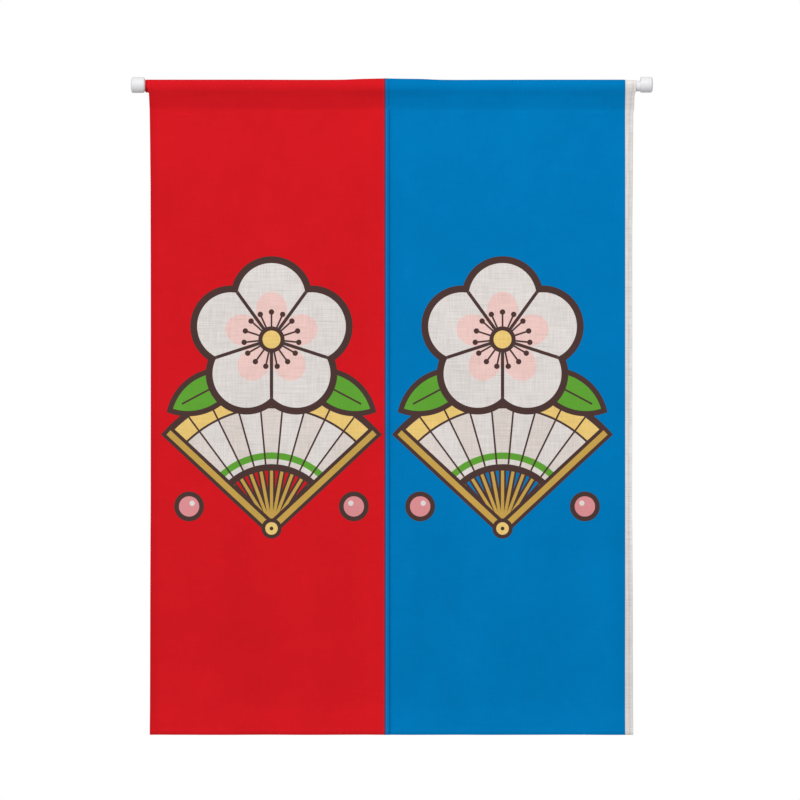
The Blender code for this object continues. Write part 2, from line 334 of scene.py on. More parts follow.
# The print. The motif's parts are placed and sized in millimetres from its middle, before its scale. The
# fan opens by its angle to each side, and its rings are a radius about the rivet and a half width. Petals
# and their hearts are a distance from the flower's middle and a radius. A bud's spot is placed and sized
# in shares of its radius. The print's edges are rough by a noise with so many bumps in a metre, and the
# line where two dyes meet goes from its outer to its inner reach in millimetres.
MOTIF_HEIGHT = -0.5640
MOTIF_SCALE = 1.05
FAN_RIVET = -205.0
FAN_ANGLE = math.radians(47.0)
FAN_PLEATS = 9
PLEAT_SWITCH = 20.0
FAN_STICKS = (12.0, 118.0)
STICK_HALF_WIDTHS = (6.2, 2.6)
FAN_LEAF = (170.0, 62.0)
FAN_BORDER = (203.0, 1.8)
FAN_STRIPE = (122.0, 5.5)
FOLD_HALF_WIDTH = 1.5
GUARD_ALONG = (112.0, 124.0)
GUARD_HALF_WIDTH = 5.0
RIVET_RADII = (10.5, 3.2)
BLOSSOM_MIDDLE = 112.0
PETALS = 5
PETAL = (71.0, 57.0)
PETAL_HEART = (50.0, 30.0)
HEART_SQUEEZE = 1.15
PETAL_LINE = 2.8
STAMENS = 15
STAMEN_ENDS = (44.0, 46.0)
STAMEN_HALF_WIDTH = 1.5
ANTHER_RADIUS = 4.6
CENTRE_RADIUS = 15.0
LEAF_MIDDLE = (112.0, 24.0)
LEAF_HALVES = (60.0, 25.0)
LEAF_TILT = math.radians(-28.0)
VEIN_SHARE = 0.72
VEIN_HALF_WIDTH = 1.5
BUD_MIDDLE = (138.0, -168.0)
BUD_RADIUS = 17.0
BUD_SPOT = (0.30, 0.32, 0.26)
BORDER_SHARPNESS = 2.6
PRINT_ROUGHNESS = 900.0
MOTIF_ROUGH = 0.6
BAND_ROUGH = 0.3
MEETING_REACH = (2.7, 0.7)
REVERSE_WASH = 0.42

# The weave: bumps of the threads' unevenness in a metre, across and up the cloth, how far threads drift
# aside, how sharply one thread goes over another, and what threads and slubs add to height and tone
THREAD_DRIFTS_PER_METRE = 45.0
THREAD_DRIFTS = (0.0010, 0.0013)
UPRIGHT_SLUBS = (420.0, 26.0)
LEVEL_SLUBS = (22.0, 470.0)
RARE_SLUBS = (13.0, 640.0)
RARE_LEVELS = (0.17, 0.30)
RARE_TONE = 0.35
CROSSING_SHARPNESS = 1.6
THREAD_HEIGHT = 0.7
SLUB_HEIGHT = 0.9
LEVEL_TONE = 1.1

# Looks of the cloth: how far its tone sways with the thread and with the dye's clouds, and how much one
# step of painted shade darkens it. The two greens are those of dyed and of bare cloth, and the sewing
# thread's twist is in radians in a metre. Tones and roughnesses are a middle and how far they sway from it.
BARE_GREENS = (0.20, 0.66)
BARE_TONE = 0.26
DYED_TONE = 0.07
CLOUD_TONE = 0.27
PAINTED_SHADE_STEP = 0.018
CLOTH_ROUGHNESS = (0.97, 0.10)
THREAD_TWIST = 9000.0
THREAD_TONE = (1.04, 0.06)
THREAD_ROUGHNESS = (0.75, 0.05)

# How a finish is grained: its shine, its fine and slow bumps in a metre, the share of its colour that its
# darker tone keeps, the spread of its roughness, and the strength and depth of its bump. The fine bumps
# have this share of the height, and the slow ones the rest.
FINE_SHARE = 0.6
Grain = namedtuple("Grain", "specular fine slow darker spread strength depth")
PAINT_GRAIN = Grain(0.25, 1400.0, 60.0, 0.965, 0.14, 0.25, 0.00005)
PLASTIC_GRAIN = Grain(0.4, 2600.0, 140.0, 0.97, 0.12, 0.35, 0.00006)

# The floor, which fades between two shares of its radius, and where the suns' handles stand, on which
# their light does not depend
FLOOR_RINGS = 20
FLOOR_FADE = (0.45, 0.98)
FLOOR_COLOURS = ((0.68, 0.68, 0.68), (0.72, 0.72, 0.72))
SUN_DISTANCE = 3.0
SUN_HEIGHT = 1.5


def display(red, green, blue):
    """Turn a display colour, from 0 to 255, into the linear one that materials take."""
    shares = (value / 255.0 for value in (red, green, blue))
    return tuple(s / 12.92 if s <= 0.04045 else ((s + 0.055) / 1.055) ** 2.4 for s in shares)


def size(name, description, default, low, high):
    """Make a length that a user may change."""
    return FloatProperty(name=name, description=description, default=default, min=low, max=high,
                         unit="LENGTH", precision=5)


def share_of(name, description, default):
    """Make a plain number from 0 to 2 that a user may change."""
    return FloatProperty(name=name, description=description, default=default, min=0.0, max=2.0)


def colour(name, description, red, green, blue):
    """Make a colour that a user may change."""
    return FloatVectorProperty(name=name, description=description, subtype="COLOR", size=3,
                               default=display(red, green, blue), min=0.0, max=1.0)


class ClothSizes(PropertyGroup):
    """Sizes of the cloth and of its relief"""

    layer: size("Cloth", "Thickness of one layer of cloth", 0.0009, 0.0003, 0.0011)
    hem: size("Hem", "Thickness of a turned hem", 0.0018, 0.0008, 0.0020)
    field_step: size("Column step", "Distance between grid columns in the open cloth", 0.0046, 0.002, 0.02)
    row_step: size("Row step", "Distance between grid rows in the open cloth", 0.0067, 0.002, 0.02)
    fine_step: size("Fine step", "Distance between grid lines over the stitching", 0.00045, 0.0002, 0.002)
    groove: size("Stitch groove", "How far stitching pulls the cloth in", 0.00010, 0.0, 0.001)
    pucker: size("Puckers", "Height of the ripples beside the stitching", 0.00016, 0.0, 0.001)
    unevenness: size("Unevenness", "Height of the slow waves of the open cloth", 0.00030, 0.0, 0.002)
    weave: size("Thread spacing", "Distance between neighbouring threads", 0.00056, 0.0002, 0.002)


class ThreadSizes(PropertyGroup):
    """Sizes of the sewing thread"""

    pitch: size("Pitch", "Distance from stitch to stitch", 0.0032, 0.0015, 0.006)
    length: size("Stitch", "Length of one stitch", 0.0025, 0.001, 0.006)
    thickness: size("Thread", "Thickness of the sewing thread", 0.00032, 0.0001, 0.001)


class PrintColours(PropertyGroup):
    """Colours of the dyed cloth and of the print"""

    red: colour("Red", "Ground of the left panel", 203, 24, 32)
    blue: colour("Blue", "Ground of the right panel", 0, 115, 177)
    cream: colour("Cream", "Bare cloth, the petals and the fan's leaf", 214, 208, 205)
    plum: colour("Plum", "Where the red and the blue dye meet", 96, 58, 88)
    ink: colour("Ink", "Dark outlines", 74, 54, 51)
    yellow: colour("Yellow", "Border and rivet of the fan, and the flower's centre", 225, 192, 115)
    gold: colour("Gold", "Sticks and guards of the fan", 190, 154, 76)
    rose: colour("Rose", "Buds", 212, 138, 141)
    blush: colour("Blush", "Inner part of the petals", 227, 192, 186)
    green: colour("Green", "Leaves, and the stripe on the fan", 92, 156, 52)
    shade: colour("Shade", "Every second pleat of the fan", 211, 201, 195)


class RodFinish(PropertyGroup):
    """Colours of the rod and its caps"""

    paint: colour("Paint", "Coating of the rod", 223, 223, 227)
    plastic: colour("Plastic", "End caps", 222, 221, 224)
    paint_roughness: share_of("Paint roughness", "Roughness of the rod's coating", 0.52)
    plastic_roughness: share_of("Plastic roughness", "Roughness of the end caps", 0.46)


class StageSettings(PropertyGroup):
    """Camera, floor and light"""

    distance: size("Camera distance", "Distance from the camera to the rod's plane", 8.0, 1.0, 20.0)
    frame_width: size("Frame width", "Width of the picture at the rod's plane", 1.408, 0.2, 10.0)
    centre_x: size("Picture centre across", "X at the middle of the picture", 0.0143, -1.0, 1.0)
    centre_z: size("Picture centre height", "Z at the middle of the picture", -0.5526, -2.0, 1.0)
    floor_height: size("Floor", "Height of the floor", -1.90, -5.0, -1.2)
    floor_radius: size("Floor radius", "Radius of the floor", 3.0, 1.0, 3.2)
    side_light: share_of("Side light", "Strength of the light from the left", 1.10)
    top_light: FloatProperty(name="Top light", description="Watts of the soft box above the front",
                             default=73.0, min=0.0, max=500.0)
    ambient: share_of("Ambient", "Strength of the light from all round", 0.52)
    back: share_of("Back light", "Strength of the light on the reverse", 0.7)


def ramp(value, start, end):
    """Rise smoothly from 0 at start to 1 at end: 3s^2 - 2s^3, with s the share of the way."""
    share = np.clip((value - start) / (end - start), 0.0, 1.0)
    return share * share * (3.0 - 2.0 * share)


def bump(value, centre, half_width):
    """Rise to 1 at the centre as a bell: e to the power of minus the squared distance in half widths."""
    return np.exp(-(((value - centre) / half_width) ** 2))


def waver(place, wavelength, seed):
    """Give an uneven ripple between about -1 and 1: three sines of unlike lengths, with seeded phases."""
    phases = np.random.default_rng(seed).uniform(0.0, 2.0 * math.pi, len(WAVER_SHARES))
    lengths = wavelength * WAVER_SHARES
    sines = [np.sin(2.0 * math.pi * place / length + phase) for length, phase in zip(lengths, phases)]
    return sum(sines) / WAVER_HEIGHT


def edge_at(table, place):
    """Read a table of pairs at each place: straight lines from pair to pair."""
    return np.interp(place, table[:, 0], table[:, 1])


def nearest(places, place):
    """Give the number of the place that lies nearest to one."""
    return int(np.argmin(np.abs(places - place)))


def unit(vectors):
    """Give directions: vectors over their lengths."""
    return vectors / np.linalg.norm(vectors, axis=-1, keepdims=True)


def slit_edge(height, side):
    """Place a panel's edge at the slit. Below the pocket the right panel reaches behind the left one."""
    beside = edge_at(SLIT_LINE, height) + side * SLIT_GAP / 2.0
    if side < 0:
        return beside
    return beside - SLIT_OVERLAP * ramp(-height, *OVERLAP_DEPTHS)


def panel_edges(height, side):
    """Give the left and right edges of a panel at each height."""
    if side < 0:
        return edge_at(LEFT_EDGE, height), slit_edge(height, side)
    return slit_edge(height, side), edge_at(RIGHT_EDGE, height)


def calm_edges(height, side):
    """Give a panel's edges with the sleeve's steps evened out: the mean over a stretch of heights."""
    heights = [height + offset for offset in np.linspace(-CALM_REACH, CALM_REACH, CALM_STEPS)]
    edges = [np.stack(np.broadcast_arrays(*panel_edges(place, side))) for place in heights]
    return np.mean(edges, axis=0)


def across(share, height, side):
    """Place columns between a panel's edges, drawn in by the radius of the rounded edge. The edges' steps
    die away inwards: e to the power of minus the distance over the step's reach."""
    drawn_in = EDGE_ROUND + (POCKET_EDGE_ROUND - EDGE_ROUND) * ramp(height, *EDGE_ROUND_HEIGHTS)
    left, right = calm_edges(height, side)
    steps = np.array(panel_edges(height, side)) - (left, right)
    left, right = left + drawn_in, right - drawn_in
    width = right - left
    x = left + share * width + steps[0] * np.exp(-share * width / STEP_REACH)
    return x + steps[1] * np.exp(-(1.0 - share) * width / STEP_REACH)


def pocket_bulge(height):
    """Give how far the pocket's front stands out at each height: the tilts' slopes, summed from below."""
    steps = np.linspace(FRONT_TILTS[0, 0], FRONT_TOP, BULGE_STEPS)
    slope = np.tan(np.radians(-edge_at(FRONT_TILTS, steps)))
    summed = np.cumsum((slope[1:] + slope[:-1]) / 2.0 * np.diff(steps))
    return np.interp(height, steps, np.concatenate(([0.0], summed)))


def forward_shape(x, height):
    """Add up how far the folds and the lean push the cloth forward: each fold is a bell across it."""
    hold = 1.0 - HEM_HOLD * ramp(-height, HEM_HOLD_START, DROP)
    depth = sum(lean.forward * ramp(-height, lean.start, lean.end) for lean in LEANS)
    for fold in FOLDS:
        fade = hold * ramp(-height, -fold.top, FOLDS_DEEPEST)
        depth = depth + fold.forward * fade * bump(x, fold.centre, fold.half_width)
    return depth


def slit_stagger(x, height, side):
    """Give how far a panel stands forward beside the slit, so that its edge clears the other panel's."""
    away = np.abs(x - edge_at(SLIT_LINE, height))
    nearness = 1.0 - ramp(away, STAGGER_REACH / 2.0, STAGGER_REACH)
    below = ramp(-height, *STAGGER_DEPTHS)
    return -side * (POCKET_STAGGER + (SLIT_STAGGER - POCKET_STAGGER) * below) * nearness


def hem_share(x, height, cloth):
    """Give 1 in the side and bottom hems and 0 in the open cloth, with a soft step at the hem's fold."""
    left, right = calm_edges(height, cloth.side)
    insets = (x - left, right - x, height + DROP)
    hems = (*cloth.hems, BOTTOM_HEM)
    shares = [ramp(inset, hem + HEM_STEP, hem - HEM_STEP / 2.0) for inset, hem in zip(insets, hems)]
    return np.maximum(np.maximum(shares[0], shares[1]), shares[2])


def painted_light_and_shade(x, height, cloth):
    """Give how much darker than its dye the cloth is painted near its sides, in steps of painted shade;
    below zero is painted light. Bells of painted shade lie on the hems' stitching, and ramps of it reach
    towards the edges, painted light where below zero. The left sleeve's roll has a painted highlight on its
    crest and painted shade in the hollow under it. The bare margin is paler in broad bells down its length,
    and has painted light at its mouth."""
    shade = 0.0
    left, right = panel_edges(height, cloth.side)
    # Painted shade along the stitching and towards the edge, and painted light where below zero
    for inset, line, (stitch_shade, fall) in zip((x - left, right - x), cloth.stitches, cloth.shades):
        shade = shade + stitch_shade * bump(inset, line, STITCH_SHADE_HALF_WIDTH) + fall * ramp(inset, *FALL_INSETS)
    # Painted highlight on the crest of the left sleeve's roll
    shade = shade - CREST_HIGHLIGHT * bump(x, CREST_X, CREST_HIGHLIGHT_HALF_WIDTH) * ramp(height, *CREST_FEET)
    # Painted shade in the hollow under the roll
    hollow = ramp(x, *HOLLOW_START) * bump(height, HOLLOW_HEIGHT, HOLLOW_HALF_HEIGHT)
    # The bare margin is paler in broad bells down its length, more so on its outer part
    margin_paling = sum(patch.wear * bump(height, patch.height, patch.half_height) for patch in MARGIN_PALE_BELLS)
    inner_share, outer_share = MARGIN_SHARES
    margin_paling = margin_paling * (inner_share + outer_share * ramp(x, *MARGIN_OUTER_PART))
    # Painted light at the bare margin's mouth, over the rod
    margin_paling = margin_paling + MOUTH_PAINTED_LIGHT * ramp(height, *MARGIN_MOUTH)
    return shade + HOLLOW_SHADE * hollow - margin_paling * ramp(x, *MARGIN_START)


def ripples(along, away, form, seed):
    """Ripple the cloth along a line of stitching: a waver, which dies away from the line as e to the power
    of minus the distance over the reach."""
    return waver(along, form.wavelength, seed) * np.exp(-np.abs(away) / form.reach)


def stitched_relief(inset, line, along, sizes, seed):
    """Shape the cloth beside a line of stitching: a shallow groove, a soft swell of the hem outside it,
    and ripples that run along the line and die away on both sides."""
    place, half_width = (share * line for share in HEM_SWELL_SHARES)
    groove = -sizes.groove * bump(inset, line, HEM_GROOVE_HALF_WIDTH)
    swell = HEM_SWELL * sizes.groove * bump(inset, place, half_width)
    return groove + swell + sizes.pucker * ripples(along, inset - line, HEM_RIPPLE, seed)


def seam_relief(x, height, sizes, seed):
    """Shape the cloth at the pocket's seam: a faint groove, ripples that die away on both sides, slower
    waves below it, and a few separate puckers."""
    below = -(height + SEAM_DEPTH)
    depth = -SEAM_GROOVE * sizes.groove * bump(below, 0.0, SEAM_GROOVE_HALF_WIDTH)
    depth = depth + sizes.pucker * ripples(x, below, SEAM_RIPPLE, seed)
    slow = waver(x, SLOW_WAVELENGTH, seed + 1) * bump(below, *SLOW_BELOW)
    depth = depth + SLOW_RIPPLE * sizes.pucker * slow
    for pucker in PUCKERS:
        place = bump(x, pucker.x, pucker.half_width) * bump(height, pucker.height, pucker.half_height)
        depth = depth + pucker.forward * place
    return depth


def fine_relief(x, height, cloth, sizes):
    """Add up the relief of the printed face, outwards: slow waves, hems, and the pocket's seam."""
    left, right = calm_edges(height, cloth.side)
    slow = 0.0
    for number, wave in enumerate(WAVES):
        seed = cloth.seed + 2 * number
        slanted = waver(x + wave.slant * height, wave.across, seed)
        slow = slow + wave.strength * slanted * waver(height, wave.down, seed + 1)
    depth = sizes.unevenness * slow * ramp(-height, SEAM_DEPTH, SEAM_DEPTH + WAVES_BEGIN)
    hems = (
        (x - left, cloth.stitches[0], height),
        (right - x, cloth.stitches[1], height),
        (height + DROP, BOTTOM_STITCH, x),
    )
    for number, (inset, line, along) in enumerate(hems):
        depth = depth + stitched_relief(inset, line, along, sizes, cloth.seed + 4 + number)
    swell = ramp(-height, *SWELL_DEPTHS) - 0.5 * ramp(-height, *SWELL_END_DEPTHS)
    return depth + BOTTOM_SWELL * swell + seam_relief(x, height, sizes, cloth.seed + 7)


def pocket_radius(share, cloth):
    """Give the radius of the printed face over the rod, with the mean of the lifts over a short stretch."""
    x = across(share, 0.0, cloth.side)
    places = [x + offset for offset in np.linspace(-LIFT_REACH, LIFT_REACH, LIFT_STEPS)]
    lift = np.mean([edge_at(POCKET_LIFTS, place) for place in places], axis=0)
    return POCKET_OUTER_RADIUS + lift + slit_stagger(x, 0.0, cloth.side)


def leave_angle(radius):
    """Give the angle from straight down at which the pocket's back leaves the round for its seam."""
    return np.arctan2(FLAP_FACE, SEAM_DEPTH) + np.arccos(radius / math.hypot(FLAP_FACE, SEAM_DEPTH))


def hang_part(height, share, cloth, sizes):
    """Place the cloth below the seam: y is minus the face's depth, folds, lean, stagger and relief."""
    x = across(share, height, cloth.side)
    forward = forward_shape(x, height) + slit_stagger(x, height, cloth.side) + pocket_bulge(height)
    y = -FRONT_FACE - forward - fine_relief(x, height, cloth, sizes)
    return np.stack(np.broadcast_arrays(x, y, height), axis=-1)


def front_part(along, share, cloth, sizes):
    """Place the pocket's front from the seam up to the round, as the tilts say, with the seam's relief.
    The left end rolls back towards the rod: by a share of the way, bounded by a hyperbolic tangent,
    behind a low crest."""
    radius = pocket_radius(share, cloth)
    height = -SEAM_DEPTH + along * (FRONT_TOP + SEAM_DEPTH)
    x = across(share, height, cloth.side)
    full = ramp(along, 0.0, FRONT_FULL)
    fullness = (np.sqrt(radius**2 - FRONT_TOP**2) - FRONT_FACE) / pocket_bulge(FRONT_TOP)
    y = -FRONT_FACE - pocket_bulge(height) * (1.0 + (fullness - 1.0) * full)
    y = y - slit_stagger(x, height, cloth.side) * (1.0 - full)
    y = y - fine_relief(x, height, cloth, sizes) * (1.0 - ramp(along, *RELIEF_FADE))
    to_rod = -np.sqrt(np.maximum(radius**2 - height**2, 0.0)) - y
    y = y + ROLL_DEPTH * np.tanh(to_rod / ROLL_DEPTH) * ramp(ROLL_START - x, 0.0, ROLL_REACH)
    crest = bump(x, CREST_X, CREST_HALF_WIDTH) * ramp(height, *CREST_FEET)
    y = y - CREST_HEIGHT * crest * (1.0 - ramp(along, FRONT_FULL, 1.0))
    return np.stack(np.broadcast_arrays(x, y, height), axis=-1)


def round_part(along, share, cloth):
    """Place the cloth over the rod: a circle about the rod's axis from the top of the pocket's front to
    the back tangent."""
    radius = pocket_radius(share, cloth)
    start = math.pi / 2.0 + np.arcsin(FRONT_TOP / radius)
    end = 2.0 * math.pi - leave_angle(radius)
    turn = start + along * (end - start)
    height = -radius * np.cos(turn)
    return np.stack((across(share, height, cloth.side), -radius * np.sin(turn), height), axis=-1)


def back_part(along, share, cloth):
    """Place the pocket's back: straight from the round down to the seam, with half a sine of slack."""
    radius = pocket_radius(share, cloth)
    angle = leave_angle(radius)
    leave_y, leave_z = radius * np.sin(angle), -radius * np.cos(angle)
    height = leave_z + along * (-SEAM_DEPTH - leave_z)
    x = across(share, height, cloth.side)
    slack = BACK_SLACK + BACK_RIPPLE * waver(x, BACK_WAVELENGTH, cloth.seed + 8)
    y = leave_y + along * (FLAP_FACE - leave_y) + slack * np.sin(math.pi * along)
    return np.stack((x, y, height), axis=-1)


def flap_part(height, share, cloth, sizes):
    """Place the turned end below the seam, which lies flat on the reverse of the cloth."""
    x = across(share, height, cloth.side)
    y = FLAP_FACE - FLAP_GROOVE * sizes.groove * bump(height, -SEAM_DEPTH, FLAP_GROOVE_HALF_WIDTH)
    return np.stack(np.broadcast_arrays(x, y, height), axis=-1)


def spread(length, marks, fine, coarse, reach):
    """List places from 0 to length: close together at the marks, and further apart by a ramp away from
    them. The marks themselves are among the places."""
    places = np.linspace(0.0, length, SPREAD_STEPS)
    away = np.min(np.abs(places[:, None] - np.asarray(marks)[None, :]), axis=1)
    step = fine + (coarse - fine) * ramp(away, 0.0, reach)
    count = np.concatenate(([0.0], np.cumsum((places[1:] - places[:-1]) / step[1:])))
    found = np.interp(np.linspace(0.0, count[-1], int(round(count[-1])) + 1), count, places)
    for mark in marks:
        found[nearest(found, mark)] = mark
    return found


def stretch_ends():
    """Give how far along the cloth each stretch ends: hanging part, front, round, back and flap."""
    front = math.hypot(FRONT_TOP + SEAM_DEPTH, float(pocket_bulge(FRONT_TOP)))
    turn = 1.5 * math.pi - float(leave_angle(POCKET_OUTER_RADIUS))
    turn = turn - math.asin(FRONT_TOP / POCKET_OUTER_RADIUS)
    back = math.sqrt(SEAM_DEPTH**2 + FLAP_FACE**2 - POCKET_OUTER_RADIUS**2)
    return np.cumsum((HANG_LENGTH, front, turn * POCKET_OUTER_RADIUS, back, FLAP_END - SEAM_DEPTH))


def row_places(sizes):
    """List the rows by their distance along the cloth from its bottom edge."""
    ends = stretch_ends()
    marks = (0.0, BOTTOM_STITCH, BOTTOM_HEM, HANG_LENGTH)
    hang = spread(ends[0], marks, sizes.fine_step, sizes.row_step, ROW_REACH)
    length = ends[1] - ends[0]
    corner = (CORNER_HEIGHT + SEAM_DEPTH) / (FRONT_TOP + SEAM_DEPTH) * length
    front = spread(length, (0.0, corner), sizes.fine_step / FRONT_FINER, FRONT_STEP, FRONT_REACH)
    upper = [
        np.linspace(start, end, count + 1)[1:]
        for start, end, count in zip(ends[1:-1], ends[2:], UPPER_ROWS)
    ]
    return np.concatenate([hang, ends[0] + front[1:]] + upper)


def column_places(cloth, sizes):
    """List the columns by their distance from the panel's left edge, at mid-height."""
    left, right = panel_edges(-DROP / 2.0, cloth.side)
    width = float(right - left) - 2.0 * EDGE_ROUND
    insets = [place - EDGE_ROUND for place in (cloth.stitches[0], cloth.hems[0])]
    insets += [width - (place - EDGE_ROUND) for place in (cloth.stitches[1], cloth.hems[1])]
    marks = sorted([0.0, width] + insets)
    return spread(width, marks, sizes.fine_step, sizes.field_step, COLUMN_REACH), width


def printed_face(cloth, sizes):
    """Place the printed face of a panel as a grid of columns and rows, a stretch of the cloth at a time,
    and say how far along the cloth each row is."""
    rows, ends = row_places(sizes), stretch_ends()
    places, width = column_places(cloth, sizes)
    share = (places / width)[None, :]
    stretch = np.searchsorted(ends, rows - SAME_PLACE)
    stretches = [rows[stretch == number][:, None] for number in range(len(ends))]
    height = -DROP + EDGE_ROUND + stretches[0] * (HANG_LENGTH - EDGE_ROUND) / HANG_LENGTH
    front, round_, back = [
        (stretches[number] - ends[number - 1]) / (ends[number] - ends[number - 1]) for number in (1, 2, 3)
    ]
    face = np.concatenate((
        hang_part(height, share, cloth, sizes),
        front_part(front, share, cloth, sizes),
        round_part(round_, share, cloth),
        back_part(back, share, cloth),
        flap_part(-SEAM_DEPTH - (stretches[4] - ends[3]), share, cloth, sizes),
    ))
    return face, rows


def grid_normals(points):
    """Give the outward direction at each grid point: the cross product of the steps across and along."""
    return unit(np.cross(np.gradient(points, axis=1), np.gradient(points, axis=0)))


def grid_faces(numbers, flipped):
    """List the four-cornered faces of a grid of vertex numbers."""
    corners = (numbers[:-1, :-1], numbers[:-1, 1:], numbers[1:, 1:], numbers[1:, :-1])
    if flipped:
        corners = corners[::-1]
    return np.stack([corner.ravel() for corner in corners], axis=-1)


def tube_faces(numbers):
    """List the faces of closed rings of vertex numbers: four-cornered ones from ring to ring, and a fan at
    each end about a pole. The poles are numbered after the rings."""
    after = np.roll(numbers, -1, axis=1)
    quads = np.stack((numbers[:-1], numbers[1:], after[1:], after[:-1]), axis=-1).reshape(-1, 4)
    first = np.full_like(numbers[0], numbers.size)
    fans = np.concatenate((
        np.stack((first, numbers[0], after[0]), axis=-1),
        np.stack((first + 1, after[-1], numbers[-1]), axis=-1),
    ))
    return quads, fans


def border(grid):
    """Walk round the border of a grid: along the first row, up, back along the last row and down."""
    return np.concatenate((grid[0, :-1], grid[:-1, -1], grid[-1, :0:-1], grid[:0:-1, 0]), axis=0)


def mesh_object(name, points, faces):
    """Make a smooth object: points by X, Y and Z, and faces by their corners' numbers."""
    mesh = bpy.data.meshes.new(name)
    mesh.from_pydata(points.tolist(), [], faces)
    mesh.update()
    mesh.shade_smooth()
    piece = bpy.data.objects.new(name, mesh)
    bpy.context.scene.collection.objects.link(piece)
    return piece


def rounded_rim(outer, inner, normals, numbers):
    """Round a panel's edge from the printed face to the reverse. Each ring of points is the middle between
    them, plus the radius times the cosine and the way outwards times the sine of a turn."""
    outer_rim, inner_rim = border(outer), border(inner)
    heading = np.roll(outer_rim, -1, axis=0) - np.roll(outer_rim, 1, axis=0)
    outwards = unit(np.cross(heading, border(normals)))
    middle, radius = (outer_rim + inner_rim) / 2.0, (outer_rim - inner_rim) / 2.0
    reach = np.linalg.norm(radius, axis=-1, keepdims=True)
    turns = np.linspace(0.0, math.pi, RIM_STEPS + 1)[1:-1]
    rings = [middle + radius * math.cos(turn) + outwards * reach * math.sin(turn) for turn in turns]
    fresh = 2 * numbers.size + np.arange(len(rings) * len(outer_rim)).reshape(len(rings), -1)
    rims = [border(numbers), *fresh, border(numbers) + numbers.size]
    faces = [
        np.stack((np.roll(first, -1), first, second, np.roll(second, -1)), axis=-1)
        for first, second in zip(rims[:-1], rims[1:])
    ]
    return rings, faces


Grid = namedtuple("Grid", "outer inner normals rows")


def sewn_cloth(cloth, sizes):
    """Make one panel: the printed face, the reverse at the cloth's thickness behind it, and a rounded edge
    from one to the other. The reverse's own material covers it between the hems."""
    outer, rows = printed_face(cloth, sizes)
    normals = grid_normals(outer)
    x, height = outer[..., 0], outer[..., 2]
    hems = hem_share(x, height, cloth)
    in_pocket = ramp(rows - HANG_LENGTH, *POCKET_THINNING)[:, None]
    hem_thickness = sizes.hem + (POCKET_HEM_THICKNESS - sizes.hem) * in_pocket
    thickness = sizes.layer + (hem_thickness - sizes.layer) * hems
    inner = outer - normals * thickness[..., None]

    numbers = np.arange(x.size).reshape(x.shape)
    rings, rim_faces = rounded_rim(outer, inner, normals, numbers)
    front_faces = grid_faces(numbers, False)
    back_faces = grid_faces(numbers, True)
    points = np.concatenate([outer.reshape(-1, 3), inner.reshape(-1, 3)] + rings)
    faces = np.concatenate([front_faces, back_faces + numbers.size] + rim_faces)
    piece = mesh_object(cloth.name, points, faces.tolist())

    # Painted shade: the hems and the pocket's header are darker, where the folded cloth lets less light
    # through, and the painted light and shade near the sides is added
    header = ramp(rows - HANG_LENGTH, -HEADER_STEP, HEADER_STEP)[:, None]
    layers = HEM_PAINTED_SHADE * hems + header + painted_light_and_shade(x, height, cloth)
    place = np.stack((x, np.broadcast_to((rows - DROP)[:, None], x.shape)), axis=-1)
    layers = np.concatenate([layers.ravel()] * 2 + [border(layers)] * len(rings))
    place = np.concatenate([place.reshape(-1, 2)] * 2 + [border(place)] * len(rings))
    piece.data.attributes.new(PAINTED_SHADE_NAME, "FLOAT", "POINT").data.foreach_set("value", layers)
    piece.data.uv_layers.new(name=UV_NAME).uv.foreach_set("vector", place[faces.ravel()].ravel())

    material_numbers = np.zeros(len(faces), dtype=np.int32)
    open_cloth = hems.ravel()[back_faces].mean(axis=1) < 0.5
    material_numbers[len(front_faces):len(front_faces) + len(back_faces)] = open_cloth
    piece.data.polygons.foreach_set("material_index", material_numbers)
    return piece, Grid(outer, inner, normals, rows)


def stitch_shape(sizes):
    """Give one stitch: a short thread that arches over the cloth, and dips into it at both ends. Its
    columns are along the seam, across it, and out of the cloth."""
    radius = sizes.thickness / 2.0
    stations = np.array(STITCH_STATIONS)[:, None]
    turn = np.arange(STITCH_SIDES) * 2.0 * math.pi / STITCH_SIDES
    girth, arch = (radius * (most - lost * stations**2) for most, lost in (STITCH_GIRTH, STITCH_ARCH))
    along = np.broadcast_to(stations * sizes.length / 2.0, (len(stations), STITCH_SIDES))
    rings = np.stack((along, girth * np.cos(turn), arch + girth * np.sin(turn)), axis=-1)
    tips = [(end * sizes.length / 2.0, 0.0, STITCH_TIP * radius) for end in (-1.0, 1.0)]
    return np.concatenate((rings.reshape(-1, 3), tips))


def along_line(lengths, values, places):
    """Read rows of three values at places along a line: straight lines from row to row."""
    return np.stack([np.interp(places, lengths, column) for column in values.T], axis=-1)


def stitches_along(points, normals, sizes):
    """Lay stitches at an even pitch along a line: each has its own frame of the line's heading, the
    cloth's normal and the direction across both."""
    lengths = np.concatenate(([0.0], np.cumsum(np.linalg.norm(np.diff(points, axis=0), axis=1))))
    places = np.arange(sizes.pitch, lengths[-1] - sizes.pitch, sizes.pitch)
    starts = along_line(lengths, points, places - sizes.length / 2.0)
    heading = unit(along_line(lengths, points, places + sizes.length / 2.0) - starts)
    out = along_line(lengths, normals, places)
    out = unit(out - heading * np.sum(out * heading, axis=-1, keepdims=True))
    frame_axes = np.stack((heading, np.cross(out, heading), out), axis=1)
    return along_line(lengths, points, places)[:, None] + stitch_shape(sizes) @ frame_axes


